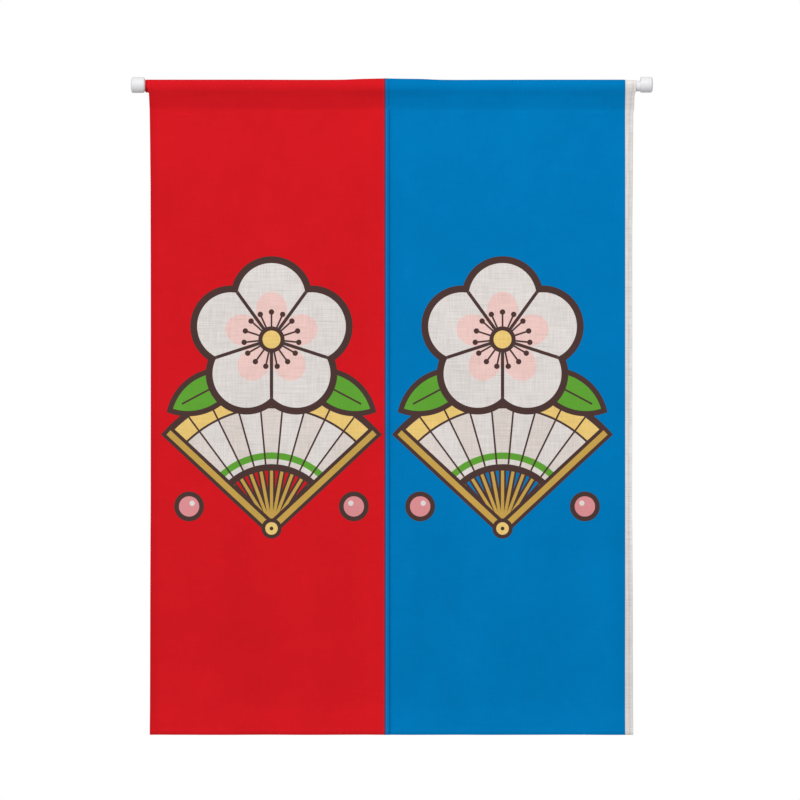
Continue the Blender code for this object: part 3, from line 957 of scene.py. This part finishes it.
def sew(cloth, grid, sizes, thread):
    """Sew a panel: stitching down both side hems, along the bottom hem and along the pocket's seam, on
    the printed face and on the reverse."""
    places, width = column_places(cloth, sizes)
    first = nearest(places, cloth.stitches[0] - EDGE_ROUND)
    last = nearest(places, width - cloth.stitches[1] + EDGE_ROUND)
    bottom, seam, flap_seam = (
        nearest(grid.rows, place) for place in (BOTTOM_STITCH, HANG_LENGTH, stretch_ends()[3])
    )
    up, up_to_seam = slice(bottom, None), slice(bottom, seam)
    hem, whole = slice(first, last + 1), slice(None)
    lines = (
        (grid.outer, up, first), (grid.inner, up_to_seam, first),
        (grid.outer, up, last), (grid.inner, up_to_seam, last),
        (grid.outer, bottom, hem), (grid.inner, bottom, hem),
        (grid.outer, seam, whole), (grid.outer, flap_seam, whole),
    )
    stitches = []
    for face, row, column in lines:
        out = grid.normals[row, column] * (-1.0 if face is grid.inner else 1.0)
        stitches.append(stitches_along(face[row, column], out, thread))
    stitches = np.concatenate(stitches)
    rings = np.arange(len(STITCH_STATIONS) * STITCH_SIDES).reshape(-1, STITCH_SIDES)
    starts = np.arange(len(stitches))[:, None, None] * stitches.shape[1]
    faces = []
    for shape in tube_faces(rings):
        faces += (shape + starts).reshape(-1, shape.shape[1]).tolist()
    return mesh_object(cloth.name + "_stitching", stitches.reshape(-1, 3), faces)


class Net:
    """Adds nodes to one node tree, and sets them out in rows."""

    def __init__(self, tree):
        self.tree = tree

    def node(self, kind, **settings):
        """Add a node of a kind, with its settings."""
        node = self.tree.nodes.new(kind)
        count = len(self.tree.nodes)
        node.location = (count % 12 * 190.0, count // 12 * -240.0)
        for name, value in settings.items():
            setattr(node, name, value)
        return node

    def feed(self, socket, value):
        """Link a socket to a value that changes over the surface, or set it to a fixed one."""
        source = value.socket if isinstance(value, Number) else value
        if isinstance(source, bpy.types.NodeSocket):
            self.tree.links.new(source, socket)
        else:
            socket.default_value = value

    def math(self, operation, *values, clamp=False):
        """Add a Math node."""
        node = self.node("ShaderNodeMath", operation=operation, use_clamp=clamp)
        for socket, value in zip(node.inputs, values):
            self.feed(socket, value)
        return Number(self, node.outputs[0])

    def mix(self, share, first, second):
        """Mix two colours."""
        node = self.node("ShaderNodeMix", data_type="RGBA")
        self.feed(node.inputs[0], share)
        for socket, value in ((node.inputs[6], first), (node.inputs[7], second)):
            self.feed(socket, (*value, 1.0) if isinstance(value, tuple) else value)
        return node.outputs[2]

    def scale(self, colour, factor):
        """Multiply a colour by a number."""
        node = self.node("ShaderNodeVectorMath", operation="SCALE")
        self.feed(node.inputs[0], colour)
        self.feed(node.inputs["Scale"], factor)
        return node.outputs[0]

    def join(self, x, y, z):
        """Make a place of three numbers."""
        node = self.node("ShaderNodeCombineXYZ")
        for socket, value in zip(node.inputs, (x, y, z)):
            self.feed(socket, value)
        return node.outputs[0]

    def split(self, vector):
        """Give the three numbers of a place."""
        node = self.node("ShaderNodeSeparateXYZ")
        self.feed(node.inputs[0], vector)
        return [Number(self, output) for output in node.outputs]

    def noise(self, vector, scale, detail=0.0, roughness=0.5):
        """Give a noise from 0 to 1 at a place."""
        node = self.node("ShaderNodeTexNoise")
        values = {"Vector": vector, "Scale": scale, "Detail": detail, "Roughness": roughness}
        for label, value in values.items():
            self.feed(node.inputs[label], value)
        return Number(self, node.outputs["Fac"])

    def smooth(self, value, low, high):
        """Rise smoothly from 0 at low to 1 at high."""
        node = self.node("ShaderNodeMapRange", interpolation_type="SMOOTHSTEP")
        self.feed(node.inputs["Value"], value)
        self.feed(node.inputs["From Min"], low)
        self.feed(node.inputs["From Max"], high)
        return Number(self, node.outputs["Result"])


class Number:
    """A number in a node tree. Sums done with it add Math nodes."""

    def __init__(self, net, socket):
        self.net = net
        self.socket = socket

    def done(self, operation, *others, clamp=False):
        """Do an operation of the Math node with it, and with other numbers."""
        return self.net.math(operation, self, *others, clamp=clamp)

    def __add__(self, other):
        return self.done("ADD", other)

    def __sub__(self, other):
        return self.done("SUBTRACT", other)

    def __rsub__(self, other):
        return self.net.math("SUBTRACT", other, self)

    def __mul__(self, other):
        return self.done("MULTIPLY", other)

    def __truediv__(self, other):
        return self.done("DIVIDE", other)

    def __abs__(self):
        return self.done("ABSOLUTE")

    __radd__ = __add__
    __rmul__ = __mul__


def new_group(name, inputs, outputs):
    """Make a shader node group with named inputs and outputs, and give its net, inputs and output node."""
    tree = bpy.data.node_groups.new(name, "ShaderNodeTree")
    for label, kind, default in inputs:
        socket = tree.interface.new_socket(name=label, in_out="INPUT", socket_type="NodeSocket" + kind)
        if default is not None:
            socket.default_value = default
    for label, kind in outputs:
        tree.interface.new_socket(name=label, in_out="OUTPUT", socket_type="NodeSocket" + kind)
    net = Net(tree)
    return net, net.node("NodeGroupInput").outputs, net.node("NodeGroupOutput").inputs


def use_group(net, name, **values):
    """Place a group in a tree, and feed its inputs. Underscores in the names stand for spaces."""
    node = net.node("ShaderNodeGroup", node_tree=bpy.data.node_groups[name])
    for label, value in values.items():
        net.feed(node.inputs[label.replace("_", " ")], value)
    return node.outputs


def distance(x, y):
    """Give the distance of a place from the middle."""
    return (x * x + y * y).done("SQRT")


def both(first, *others):
    """Give the edge of the area that shapes share."""
    for other in others:
        first = first.done("MAXIMUM", other)
    return first


def wedge(angle, width):
    """Repeat an angle in equal wedges, from minus half a wedge to half of one."""
    return angle.done("WRAP", width / 2.0, -width / 2.0)


class Drawing:
    """A print that is drawn shape by shape. An edge is a distance in millimetres, below zero inside."""

    def __init__(self, net, ground, colours):
        self.net = net
        self.drawn = ground
        self.colours = colours

    def cover(self, edge, over):
        """Cover the inside of an edge, with a narrow soft border."""
        share = edge.done("MULTIPLY_ADD", -BORDER_SHARPNESS, 0.5, clamp=True)
        self.drawn = self.net.mix(share, self.drawn, over)

    def lay(self, edge, name):
        """Cover the inside of an edge with one of the print's colours."""
        self.cover(edge, self.colours[name])

    def outline(self, edge, name, line):
        """Lay a shape with a dark line round it."""
        self.lay(edge - line, "ink")
        self.lay(edge, name)


def ring(reach, middle, half_width):
    """Give the edge of a ring."""
    return abs(reach - middle) - half_width


def draw_buds(drawing, x, y):
    """Draw a pair of round buds, one on each side, each with a paler spot."""
    aside, up = abs(x) - BUD_MIDDLE[0], y - BUD_MIDDLE[1]
    drawing.outline(distance(aside, up) - BUD_RADIUS, "rose", line=8.0)
    spot_aside, spot_up, spot_radius = (BUD_RADIUS * share for share in BUD_SPOT)
    drawing.lay(distance(aside + spot_aside, up - spot_up) - spot_radius, "cream")


def draw_fan(drawing, x, y):
    """Draw an open folding fan above its rivet: sticks, a pleated leaf with a border, and guards."""
    y = y - FAN_RIVET
    reach, angle = distance(x, y), x.done("ARCTAN2", y)
    pleat = 2.0 * FAN_ANGLE / FAN_PLEATS
    inside = (abs(angle) - FAN_ANGLE).done("SINE") * reach
    to_stick = abs(wedge(angle, pleat).done("SINE") * reach)
    sticks = both(reach - FAN_STICKS[1], inside, FAN_STICKS[0] - reach)
    for half_width, name in zip(STICK_HALF_WIDTHS, ("ink", "gold")):
        drawing.lay(both(to_stick - half_width, sticks), name)
    leaf = both(ring(reach, *FAN_LEAF), inside)
    drawing.outline(leaf, "cream", line=11.0)
    second = ((angle + FAN_ANGLE) / pleat).done("FLOOR").done("MODULO", 2.0) - 0.5
    to_fold = abs(wedge(angle + pleat / 2.0, pleat).done("SINE") * reach)
    parts = (
        (second * PLEAT_SWITCH, "shade"),
        (FAN_BORDER[0] - reach, "yellow"),
        (ring(reach, *FAN_BORDER), "ink"),
        (ring(reach, *FAN_STRIPE), "green"),
        (to_fold - FOLD_HALF_WIDTH, "ink"),
    )
    for edge, name in parts:
        drawing.lay(both(leaf, edge), name)
    side = abs(x)
    along = side * math.sin(FAN_ANGLE) + y * math.cos(FAN_ANGLE)
    beside = abs(side * math.cos(FAN_ANGLE) - y * math.sin(FAN_ANGLE))
    drawing.outline(both(beside - GUARD_HALF_WIDTH, ring(along, *GUARD_ALONG)), "gold", line=6.0)
    drawing.outline(reach - RIVET_RADII[0], "yellow", line=6.5)
    drawing.lay(reach - RIVET_RADII[1], "ink")


def draw_leaves(drawing, x, y):
    """Draw a pair of pointed leaves, one on each side: each is what two circles share, with a vein."""
    half_length, half_width = LEAF_HALVES
    aside, up = abs(x) - LEAF_MIDDLE[0], y - LEAF_MIDDLE[1]
    along = aside * math.cos(LEAF_TILT) + up * math.sin(LEAF_TILT)
    beside = abs(up * math.cos(LEAF_TILT) - aside * math.sin(LEAF_TILT))
    radius = (half_length**2 + half_width**2) / (2.0 * half_width)
    edge = distance(along, beside + (radius - half_width)) - radius
    drawing.outline(edge, "green", line=9.0)
    drawing.lay(both(beside - VEIN_HALF_WIDTH, abs(along) - half_length * VEIN_SHARE), "ink")


def draw_blossom(drawing, x, y):
    """Draw a plum blossom: five round petals, each with a paler heart, and fifteen stamens."""
    y = y - BLOSSOM_MIDDLE
    reach, angle = distance(x, y), x.done("ARCTAN2", y)
    petal, stamen = math.radians(360.0 / PETALS), math.radians(360.0 / STAMENS)
    turn = wedge(angle, petal)
    aside, up = turn.done("SINE") * reach, turn.done("COSINE") * reach
    edge = distance(aside, up - PETAL[0]) - PETAL[1]
    drawing.outline(edge, "cream", line=11.5)
    drawing.lay(distance(aside * HEART_SQUEEZE, up - PETAL_HEART[0]) - PETAL_HEART[1], "blush")
    between = (petal / 2.0 - abs(turn)).done("SINE") * reach
    drawing.lay(both(edge, between - PETAL_LINE), "ink")
    turn = wedge(angle, stamen)
    aside, up = turn.done("SINE") * reach, turn.done("COSINE") * reach
    drawing.lay(both(abs(aside) - STAMEN_HALF_WIDTH, up - STAMEN_ENDS[0]), "ink")
    drawing.lay(distance(aside, up - STAMEN_ENDS[1]) - ANTHER_RADIUS, "ink")
    drawing.outline(reach - CENTRE_RADIUS, "yellow", line=7.0)


def make_print_group(colours):
    """Colour of the cloth by its place in metres: ground, a straight band beside it, a soft dark line
    where two dyes meet, and the motif."""
    net, given, out = new_group(
        "dyed_print",
        (("Place", "Vector", None), ("Ground", "Color", None), ("Band", "Color", None),
         ("Band start", "Float", 0.0), ("Meeting", "Float", 0.0), ("Motif x", "Float", 0.0),
         ("Wash", "Float", 0.0)),
        (("Color", "Color"),),
    )
    x, y, _ = net.split(given["Place"])
    rough = net.noise(given["Place"], PRINT_ROUGHNESS) - 0.5
    x_mm = (x - Number(net, given["Motif x"])) * (1000.0 / MOTIF_SCALE) + rough * MOTIF_ROUGH
    y_mm = (y - MOTIF_HEIGHT) * (1000.0 / MOTIF_SCALE) + rough * MOTIF_ROUGH
    to_band = (Number(net, given["Band start"]) - x) * 1000.0 + rough * BAND_ROUGH
    drawing = Drawing(net, given["Ground"], colours)
    drawing.cover(to_band, given["Band"])
    meeting = net.smooth(abs(to_band), *MEETING_REACH) * Number(net, given["Meeting"])
    drawing.drawn = net.mix(meeting, drawing.drawn, colours["plum"])
    for draw in (draw_buds, draw_fan, draw_leaves, draw_blossom):
        draw(drawing, x_mm, y_mm)
    net.feed(out["Color"], net.mix(given["Wash"], drawing.drawn, colours["cream"]))


def slubs(net, x, y, per_metre, layer, detail):
    """Give the unevenness of threads about 0: a noise with so many bumps in a metre both ways."""
    return net.noise(net.join(x * per_metre[0], y * per_metre[1], layer), 1.0, detail) - 0.5


def make_weave_group():
    """Plain weave by the place in metres: crossing threads for the height, slubs for the tone, and the
    dye's slow clouds."""
    net, given, out = new_group(
        "linen_weave",
        (("Place", "Vector", None), ("Spacing", "Float", 0.0006)),
        (("Height", "Float"), ("Tone", "Float"), ("Clouds", "Float")),
    )
    place = given["Place"]
    x, y, _ = net.split(place)
    spacing = Number(net, given["Spacing"])
    drift = net.noise(place, THREAD_DRIFTS_PER_METRE, detail=1.0) - 0.5
    upright, level = (
        ((way + drift * reach) / spacing * math.pi).done("SINE")
        for way, reach in zip((x, y), THREAD_DRIFTS)
    )
    on_top = (upright * level).done("MULTIPLY_ADD", CROSSING_SHARPNESS, 0.5, clamp=True)
    threads = abs(upright) * on_top + abs(level) * (1.0 - on_top)
    slub_up = slubs(net, x, y, UPRIGHT_SLUBS, layer=0.0, detail=2.0)
    slub_level = slubs(net, x, y, LEVEL_SLUBS, layer=7.0, detail=2.0)
    rare = slubs(net, x, y, RARE_SLUBS, layer=3.0, detail=0.0)
    rare = net.smooth(rare, *RARE_LEVELS) * RARE_TONE
    net.feed(out["Height"], threads * THREAD_HEIGHT + (slub_up + slub_level) * SLUB_HEIGHT)
    net.feed(out["Tone"], slub_up + slub_level * LEVEL_TONE - rare)
    net.feed(out["Clouds"], net.noise(place, scale=6.0, detail=4.0, roughness=0.8) - 0.5)


def make_fine_grain_group():
    """Fine unevenness of paint or moulded plastic: a height and a share for the roughness."""
    net, given, out = new_group(
        "fine_grain",
        (("Place", "Vector", None), ("Fine scale", "Float", 1500.0), ("Slow scale", "Float", 90.0)),
        (("Height", "Float"), ("Share", "Float")),
    )
    fine = net.noise(given["Place"], given["Fine scale"], detail=2.0)
    slow = net.noise(given["Place"], given["Slow scale"], detail=1.0)
    net.feed(out["Height"], fine * FINE_SHARE + slow * (1.0 - FINE_SHARE))
    net.feed(out["Share"], slow)


def new_material(name, roughness, specular):
    """Make a material with a plain Principled shader, and give it with its net and its shader's inputs."""
    material = bpy.data.materials.new(name)
    material.use_nodes = True
    net = Net(material.node_tree)
    inputs = material.node_tree.nodes["Principled BSDF"].inputs
    net.feed(inputs["Roughness"], roughness)
    net.feed(inputs["Specular IOR Level"], specular)
    return material, net, inputs


def add_bump(net, inputs, height, strength, depth):
    """Feed a height to the shader's normal."""
    node = net.node("ShaderNodeBump")
    for label, value in (("Strength", strength), ("Distance", depth), ("Height", height)):
        net.feed(node.inputs[label], value)
    net.feed(inputs["Normal"], node.outputs["Normal"])


def colour_table():
    """Give the print's colours by name, as linear values."""
    settings = bpy.context.scene.noren_colours
    return {name: tuple(getattr(settings, name)) for name in PrintColours.__annotations__}


def cloth_material(name, cloth, wash, sizes, colours):
    """Make the material of one face of a panel. Wash is how far the print has faded to bare cloth. Bare
    cloth shows more of its thread than dyed cloth does, and is told by its green."""
    material, net, inputs = new_material(name, roughness=0.92, specular=0.02)
    place = net.node("ShaderNodeUVMap", uv_map=UV_NAME).outputs["UV"]
    printed = use_group(
        net, "dyed_print", Place=place, Ground=(*colours[cloth.ground], 1.0),
        Band=(*colours[cloth.band], 1.0), Band_start=cloth.band_start, Meeting=cloth.meeting,
        Motif_x=cloth.motif_x, Wash=wash,
    )["Color"]
    weave = use_group(net, "linen_weave", Place=place, Spacing=sizes.weave)
    layers = net.node("ShaderNodeAttribute", attribute_name=PAINTED_SHADE_NAME).outputs["Fac"]
    channels = net.node("ShaderNodeSeparateColor")
    net.feed(channels.inputs[0], printed)
    bare = net.smooth(channels.outputs["Green"], *BARE_GREENS)
    tone = Number(net, weave["Tone"]) * (bare * BARE_TONE + DYED_TONE)
    tone = tone + Number(net, weave["Clouds"]) * CLOUD_TONE + 1.0
    # Painted shade darkens the base colour by the attribute, and painted light lightens it below zero
    dimmed = tone * (1.0 - Number(net, layers) * PAINTED_SHADE_STEP)
    net.feed(inputs["Base Color"], net.scale(printed, dimmed))
    net.feed(inputs["Roughness"], CLOTH_ROUGHNESS[0] - Number(net, weave["Height"]) * CLOTH_ROUGHNESS[1])
    add_bump(net, inputs, weave["Height"], strength=0.35, depth=0.00012)
    return material


def thread_material(name, cloth, colours):
    """Make the material of a panel's sewing thread: the cloth's own colour, twisted from two strands."""
    material, net, inputs = new_material(name, roughness=0.75, specular=0.10)
    x, y, z = net.split(net.node("ShaderNodeTexCoord").outputs["Object"])
    over_band = (x - cloth.band_start).done("MULTIPLY_ADD", 1000.0, 0.5, clamp=True)
    thread = net.mix(over_band, colours[cloth.ground], colours[cloth.band])
    twist = ((x + y + z) * THREAD_TWIST).done("SINE")
    net.feed(inputs["Base Color"], net.scale(thread, twist * THREAD_TONE[1] + THREAD_TONE[0]))
    net.feed(inputs["Roughness"], twist * THREAD_ROUGHNESS[1] + THREAD_ROUGHNESS[0])
    add_bump(net, inputs, twist, strength=0.4, depth=0.00005)
    return material


def grained_material(name, tint, roughness, grain):
    """Make a painted or moulded material: its colour, roughness and height follow a fine grain."""
    material, net, inputs = new_material(name, roughness, grain.specular)
    place = net.node("ShaderNodeTexCoord").outputs["Object"]
    group = use_group(net, "fine_grain", Place=place, Fine_scale=grain.fine, Slow_scale=grain.slow)
    darker = tuple(grain.darker * value for value in tint)
    net.feed(inputs["Base Color"], net.mix(group["Share"], darker, tuple(tint)))
    spread_out = Number(net, group["Share"]) * grain.spread
    net.feed(inputs["Roughness"], spread_out + (roughness - grain.spread / 2.0))
    add_bump(net, inputs, group["Height"], grain.strength, grain.depth)
    return material


class NOREN_OT_hang_cloth(Operator):
    """Make both panels from a grid along the cloth's path, with their print, weave and stitching"""

    bl_idname = "noren.hang_cloth"
    bl_label = "Hang the cloth"

    def execute(self, context):
        sizes = context.scene.noren_cloth
        colours = colour_table()
        make_print_group(colours)
        make_weave_group()
        for cloth in CLOTHS:
            piece, grid = sewn_cloth(cloth, sizes)
            for face, wash in (("_print", 0.0), ("_reverse", REVERSE_WASH)):
                piece.data.materials.append(cloth_material(cloth.name + face, cloth, wash, sizes, colours))
            stitching = sew(cloth, grid, sizes, context.scene.noren_thread)
            stitching.data.materials.append(thread_material(cloth.name + "_thread", cloth, colours))
            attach(piece, "root")
            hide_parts(cloth.node)
            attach(stitching, "root")
            flat = (sum(cloth.hems) * 2.0 + np.ptp(grid.outer[0, :, 0]), grid.rows[-1] + BOTTOM_TURN)
        return {"FINISHED"}


def arc(middle, reach, start, end, count):
    """List points round an ellipse: its middle plus its reaches times the cosine and sine of an angle,
    which goes from start to end in degrees."""
    angles = np.radians(np.linspace(start, end, count))
    return [(middle[0] + reach[0] * math.cos(a), middle[1] + reach[1] * math.sin(a)) for a in angles]


def turned(name, profile, rise):
    """Turn a section about the rod's direction: x stays, and y and z are the radius times the sine and
    cosine of the turn. The section's rows are x and radius, and its first and last lie on the axis."""
    turn = np.arange(ROUND_STEPS) * 2.0 * math.pi / ROUND_STEPS
    x, radius = profile[1:-1, 0][:, None], profile[1:-1, 1][:, None]
    x = np.broadcast_to(x, (len(x), ROUND_STEPS))
    rings = np.stack((x, radius * np.sin(turn), radius * np.cos(turn) + rise), axis=-1)
    poles = [(profile[k, 0], 0.0, rise) for k in (0, -1)]
    faces = []
    for shape in tube_faces(np.arange(x.size).reshape(x.shape)):
        faces += (shape[:, ::-1] if profile[0, 0] > profile[-1, 0] else shape).tolist()
    return mesh_object(name, np.concatenate((rings.reshape(-1, 3), poles)), faces)


def rod_half():
    """List distance from the rod's end and radius along its section, over the rounded corner. Extra points
    beside the corner keep its shading crisp."""
    points = [(0.0, 0.0), (0.0, ROD_RADIUS - 3.0 * ROD_BEVEL)]
    points += arc((ROD_BEVEL, ROD_RADIUS - ROD_BEVEL), (ROD_BEVEL, ROD_BEVEL), 180.0, 90.0, 5)
    return np.array(points + [(8.0 * ROD_BEVEL, ROD_RADIUS)])


class NOREN_OT_turn_rod(Operator):
    """Make the rod, a plain round tube with a satin white coating and closed ends"""

    bl_idname = "noren.turn_rod"
    bl_label = "Turn the rod"

    def execute(self, context):
        finish = context.scene.noren_finish
        make_fine_grain_group()
        left = rod_half() - (ROD_LENGTH / 2.0, 0.0)
        rod = turned("tension_rod", np.concatenate((left, left[::-1] * (-1.0, 1.0))), 0.0)
        paint = grained_material("rod_paint", finish.paint, finish.paint_roughness, PAINT_GRAIN)
        rod.data.materials.append(paint)
        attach(rod, "root")
        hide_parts("rod_tube")
        return {"FINISHED"}


def cap_profile(cap):
    """List distance from the outer face and radius round a cap's section, from the middle of its outer
    face, over the rounded foot and its groove, to the middle of the socket's floor."""
    depth, height = CAP_RIM
    points = [(0.0, 0.0)] + [(deep, radius) for radius, deep in FACE_RING]
    points += arc((depth, CAP_RADIUS - height), CAP_RIM, 180.0, 90.0, 9)
    points += [(GROOVE_PLACE + offset, CAP_RADIUS - deep) for offset, deep in GROOVE]
    points += [(x, CAP_RADIUS - CAP_TAPER * (x - TAPER_START) / TAPER_LENGTH) for x in TAPER_PLACES]
    depth, height = cap.mouth_round
    middle = (cap.length - depth, CAP_RADIUS - CAP_TAPER - height)
    points += [(middle[0] - MOUTH_MARGIN, CAP_RADIUS - CAP_TAPER)]
    points += arc(middle, cap.mouth_round, 90.0, 0.0, 7)
    points += arc((cap.length - CAP_LIP, CAP_SOCKET_RADIUS + CAP_LIP), (CAP_LIP, CAP_LIP), 0.0, -90.0, 7)
    return np.array(points + [(CAP_FLOOR, CAP_SOCKET_RADIUS), (CAP_FLOOR, 0.0)])


class NOREN_OT_fit_caps(Operator):
    """Make the two moulded end caps from a turned section"""

    bl_idname = "noren.fit_caps"
    bl_label = "Fit the end caps"

    def execute(self, context):
        finish = context.scene.noren_finish
        plastic = grained_material("cap_plastic", finish.plastic, finish.plastic_roughness, PLASTIC_GRAIN)
        for cap in CAPS:
            profile = cap_profile(cap)
            profile[:, 0] = cap.side * (OVERALL_LENGTH / 2.0 - profile[:, 0])
            piece = turned(cap.name, profile, cap.rise)
            piece.data.materials.append(plastic)
            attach(piece, "root")
            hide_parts(cap.node)
        return {"FINISHED"}


def make_floor(height, radius):
    """Make a round floor: rings about the middle, pale, fading out at its rim and clear from below."""
    turn = np.arange(ROUND_STEPS) * 2.0 * math.pi / ROUND_STEPS
    reach = radius * np.linspace(0.05, 1.0, FLOOR_RINGS)[:, None]
    x, y = reach * np.cos(turn), reach * np.sin(turn)
    rings = np.stack((x, y, np.full_like(x, height)), axis=-1)
    numbers = np.arange(x.size).reshape(x.shape)
    faces = tube_faces(numbers)[0].tolist() + [numbers[0].tolist()]
    floor = mesh_object("floor", rings.reshape(-1, 3), faces)
    material, net, inputs = new_material("floor_paint", roughness=0.9, specular=0.2)
    place = net.node("ShaderNodeTexCoord").outputs["Object"]
    x, y, _ = net.split(place)
    mottle = net.noise(place, scale=3.0, detail=2.0)
    net.feed(inputs["Base Color"], net.mix(mottle, *FLOOR_COLOURS))
    fade = net.smooth(distance(x, y), radius * FLOOR_FADE[0], radius * FLOOR_FADE[1])
    unseen = fade.done("MAXIMUM", net.node("ShaderNodeNewGeometry").outputs["Backfacing"])
    clear = net.node("ShaderNodeBsdfTransparent").outputs[0]
    painted = net.tree.nodes["Principled BSDF"].outputs[0]
    mixed = net.node("ShaderNodeMixShader")
    for socket, value in zip(mixed.inputs, (unseen, painted, clear)):
        net.feed(socket, value)
    net.feed(net.tree.nodes["Material Output"].inputs["Surface"], mixed.outputs[0])
    floor.data.materials.append(material)


def aim_sun(name, azimuth, elevation, strength, angle):
    """Hang a soft light that shines from an azimuth, 0 in front and 90 at the right, and an elevation."""
    light = bpy.data.lights.new(name, "SUN")
    light.energy = strength
    light.angle = math.radians(angle)
    lamp = bpy.data.objects.new(name, light)
    lamp.rotation_euler = (math.radians(90.0 - elevation), 0.0, math.radians(azimuth))
    x, y = math.sin(math.radians(azimuth)), -math.cos(math.radians(azimuth))
    lamp.location = (SUN_DISTANCE * x, SUN_DISTANCE * y, SUN_HEIGHT)
    bpy.context.scene.collection.objects.link(lamp)


def hang_soft_box(name, place, target, width, watts):
    """Hang a square soft light at a place, facing a target."""
    light = bpy.data.lights.new(name, "AREA")
    light.shape = "SQUARE"
    light.size = width
    light.energy = watts
    box = bpy.data.objects.new(name, light)
    box.location = place
    box.rotation_euler = (Vector(target) - Vector(place)).to_track_quat("-Z", "Y").to_euler()
    box.visible_camera = False
    bpy.context.scene.collection.objects.link(box)


def set_world(ambient):
    """Light the scene evenly from all round, and show plain white behind it."""
    world = bpy.data.worlds.new("white_studio")
    world.use_nodes = True
    net = Net(world.node_tree)
    seen = net.node("ShaderNodeLightPath").outputs["Is Camera Ray"]
    background = world.node_tree.nodes["Background"]
    background.inputs["Color"].default_value = (1.0, 1.0, 1.0, 1.0)
    net.feed(background.inputs["Strength"], Number(net, seen) * (1.0 - ambient) + ambient)
    bpy.context.scene.world = world


class NOREN_OT_set_stage(Operator):
    """Set the floor, the light and the camera"""

    bl_idname = "noren.set_stage"
    bl_label = "Set the stage"

    def execute(self, context):
        stage = context.scene.noren_stage
        make_floor(stage.floor_height, stage.floor_radius)
        set_world(stage.ambient)
        aim_sun("side_light", azimuth=-42.0, elevation=30.0, strength=stage.side_light, angle=24.0)
        aim_sun("back_light", azimuth=160.0, elevation=0.0, strength=stage.back, angle=50.0)
        hang_soft_box("top_light", place=(0.10, -3.40, 2.10), target=(0.0, 0.0, -0.50), width=1.8,
                      watts=stage.top_light)
        camera = bpy.data.cameras.new("camera")
        camera.sensor_width = 36.0
        camera.lens = camera.sensor_width * stage.distance / stage.frame_width
        camera.clip_end = 50.0
        view = bpy.data.objects.new("camera", camera)
        view.location = (stage.centre_x, -stage.distance, stage.centre_z)
        view.rotation_euler = (math.radians(90.0), 0.0, 0.0)
        context.scene.collection.objects.link(view)
        context.scene.camera = view
        context.scene.view_settings.view_transform = "Standard"
        return {"FINISHED"}


class NOREN_PT_workshop(Panel):
    """Lists the steps and their settings"""

    bl_label = "Noren"
    bl_space_type = "VIEW_3D"
    bl_region_type = "UI"
    bl_category = "Noren"

    def draw(self, context):
        scene = context.scene
        steps = (
            ("noren.hang_cloth", (scene.noren_cloth, scene.noren_thread, scene.noren_colours)),
            ("noren.turn_rod", (scene.noren_finish,)),
            ("noren.fit_caps", ()),
            ("noren.set_stage", (scene.noren_stage,)),
        )
        for operator, groups in steps:
            box = self.layout.box()
            box.operator(operator)
            for group in groups:
                for name in type(group).__annotations__:
                    box.prop(group, name)


SETTINGS = {
    "noren_cloth": ClothSizes,
    "noren_thread": ThreadSizes,
    "noren_colours": PrintColours,
    "noren_finish": RodFinish,
    "noren_stage": StageSettings,
}
CLASSES = (
    *SETTINGS.values(),
    NOREN_OT_hang_cloth,
    NOREN_OT_turn_rod,
    NOREN_OT_fit_caps,
    NOREN_OT_set_stage,
    NOREN_PT_workshop,
)


def register():
    """Add the classes, and hang their settings on the scene."""
    for item in CLASSES:
        bpy.utils.register_class(item)
    for name, group in SETTINGS.items():
        setattr(bpy.types.Scene, name, PointerProperty(type=group))


def unregister():
    """Take the settings and the classes away again."""
    for name in SETTINGS:
        delattr(bpy.types.Scene, name)
    for item in reversed(CLASSES):
        bpy.utils.unregister_class(item)


def main():
    """Run every step."""
    register()
    bpy.ops.noren.turn_rod()
    bpy.ops.noren.hang_cloth()
    bpy.ops.noren.fit_caps()
    bpy.ops.noren.set_stage()


if __name__ == "__main__":
    main()
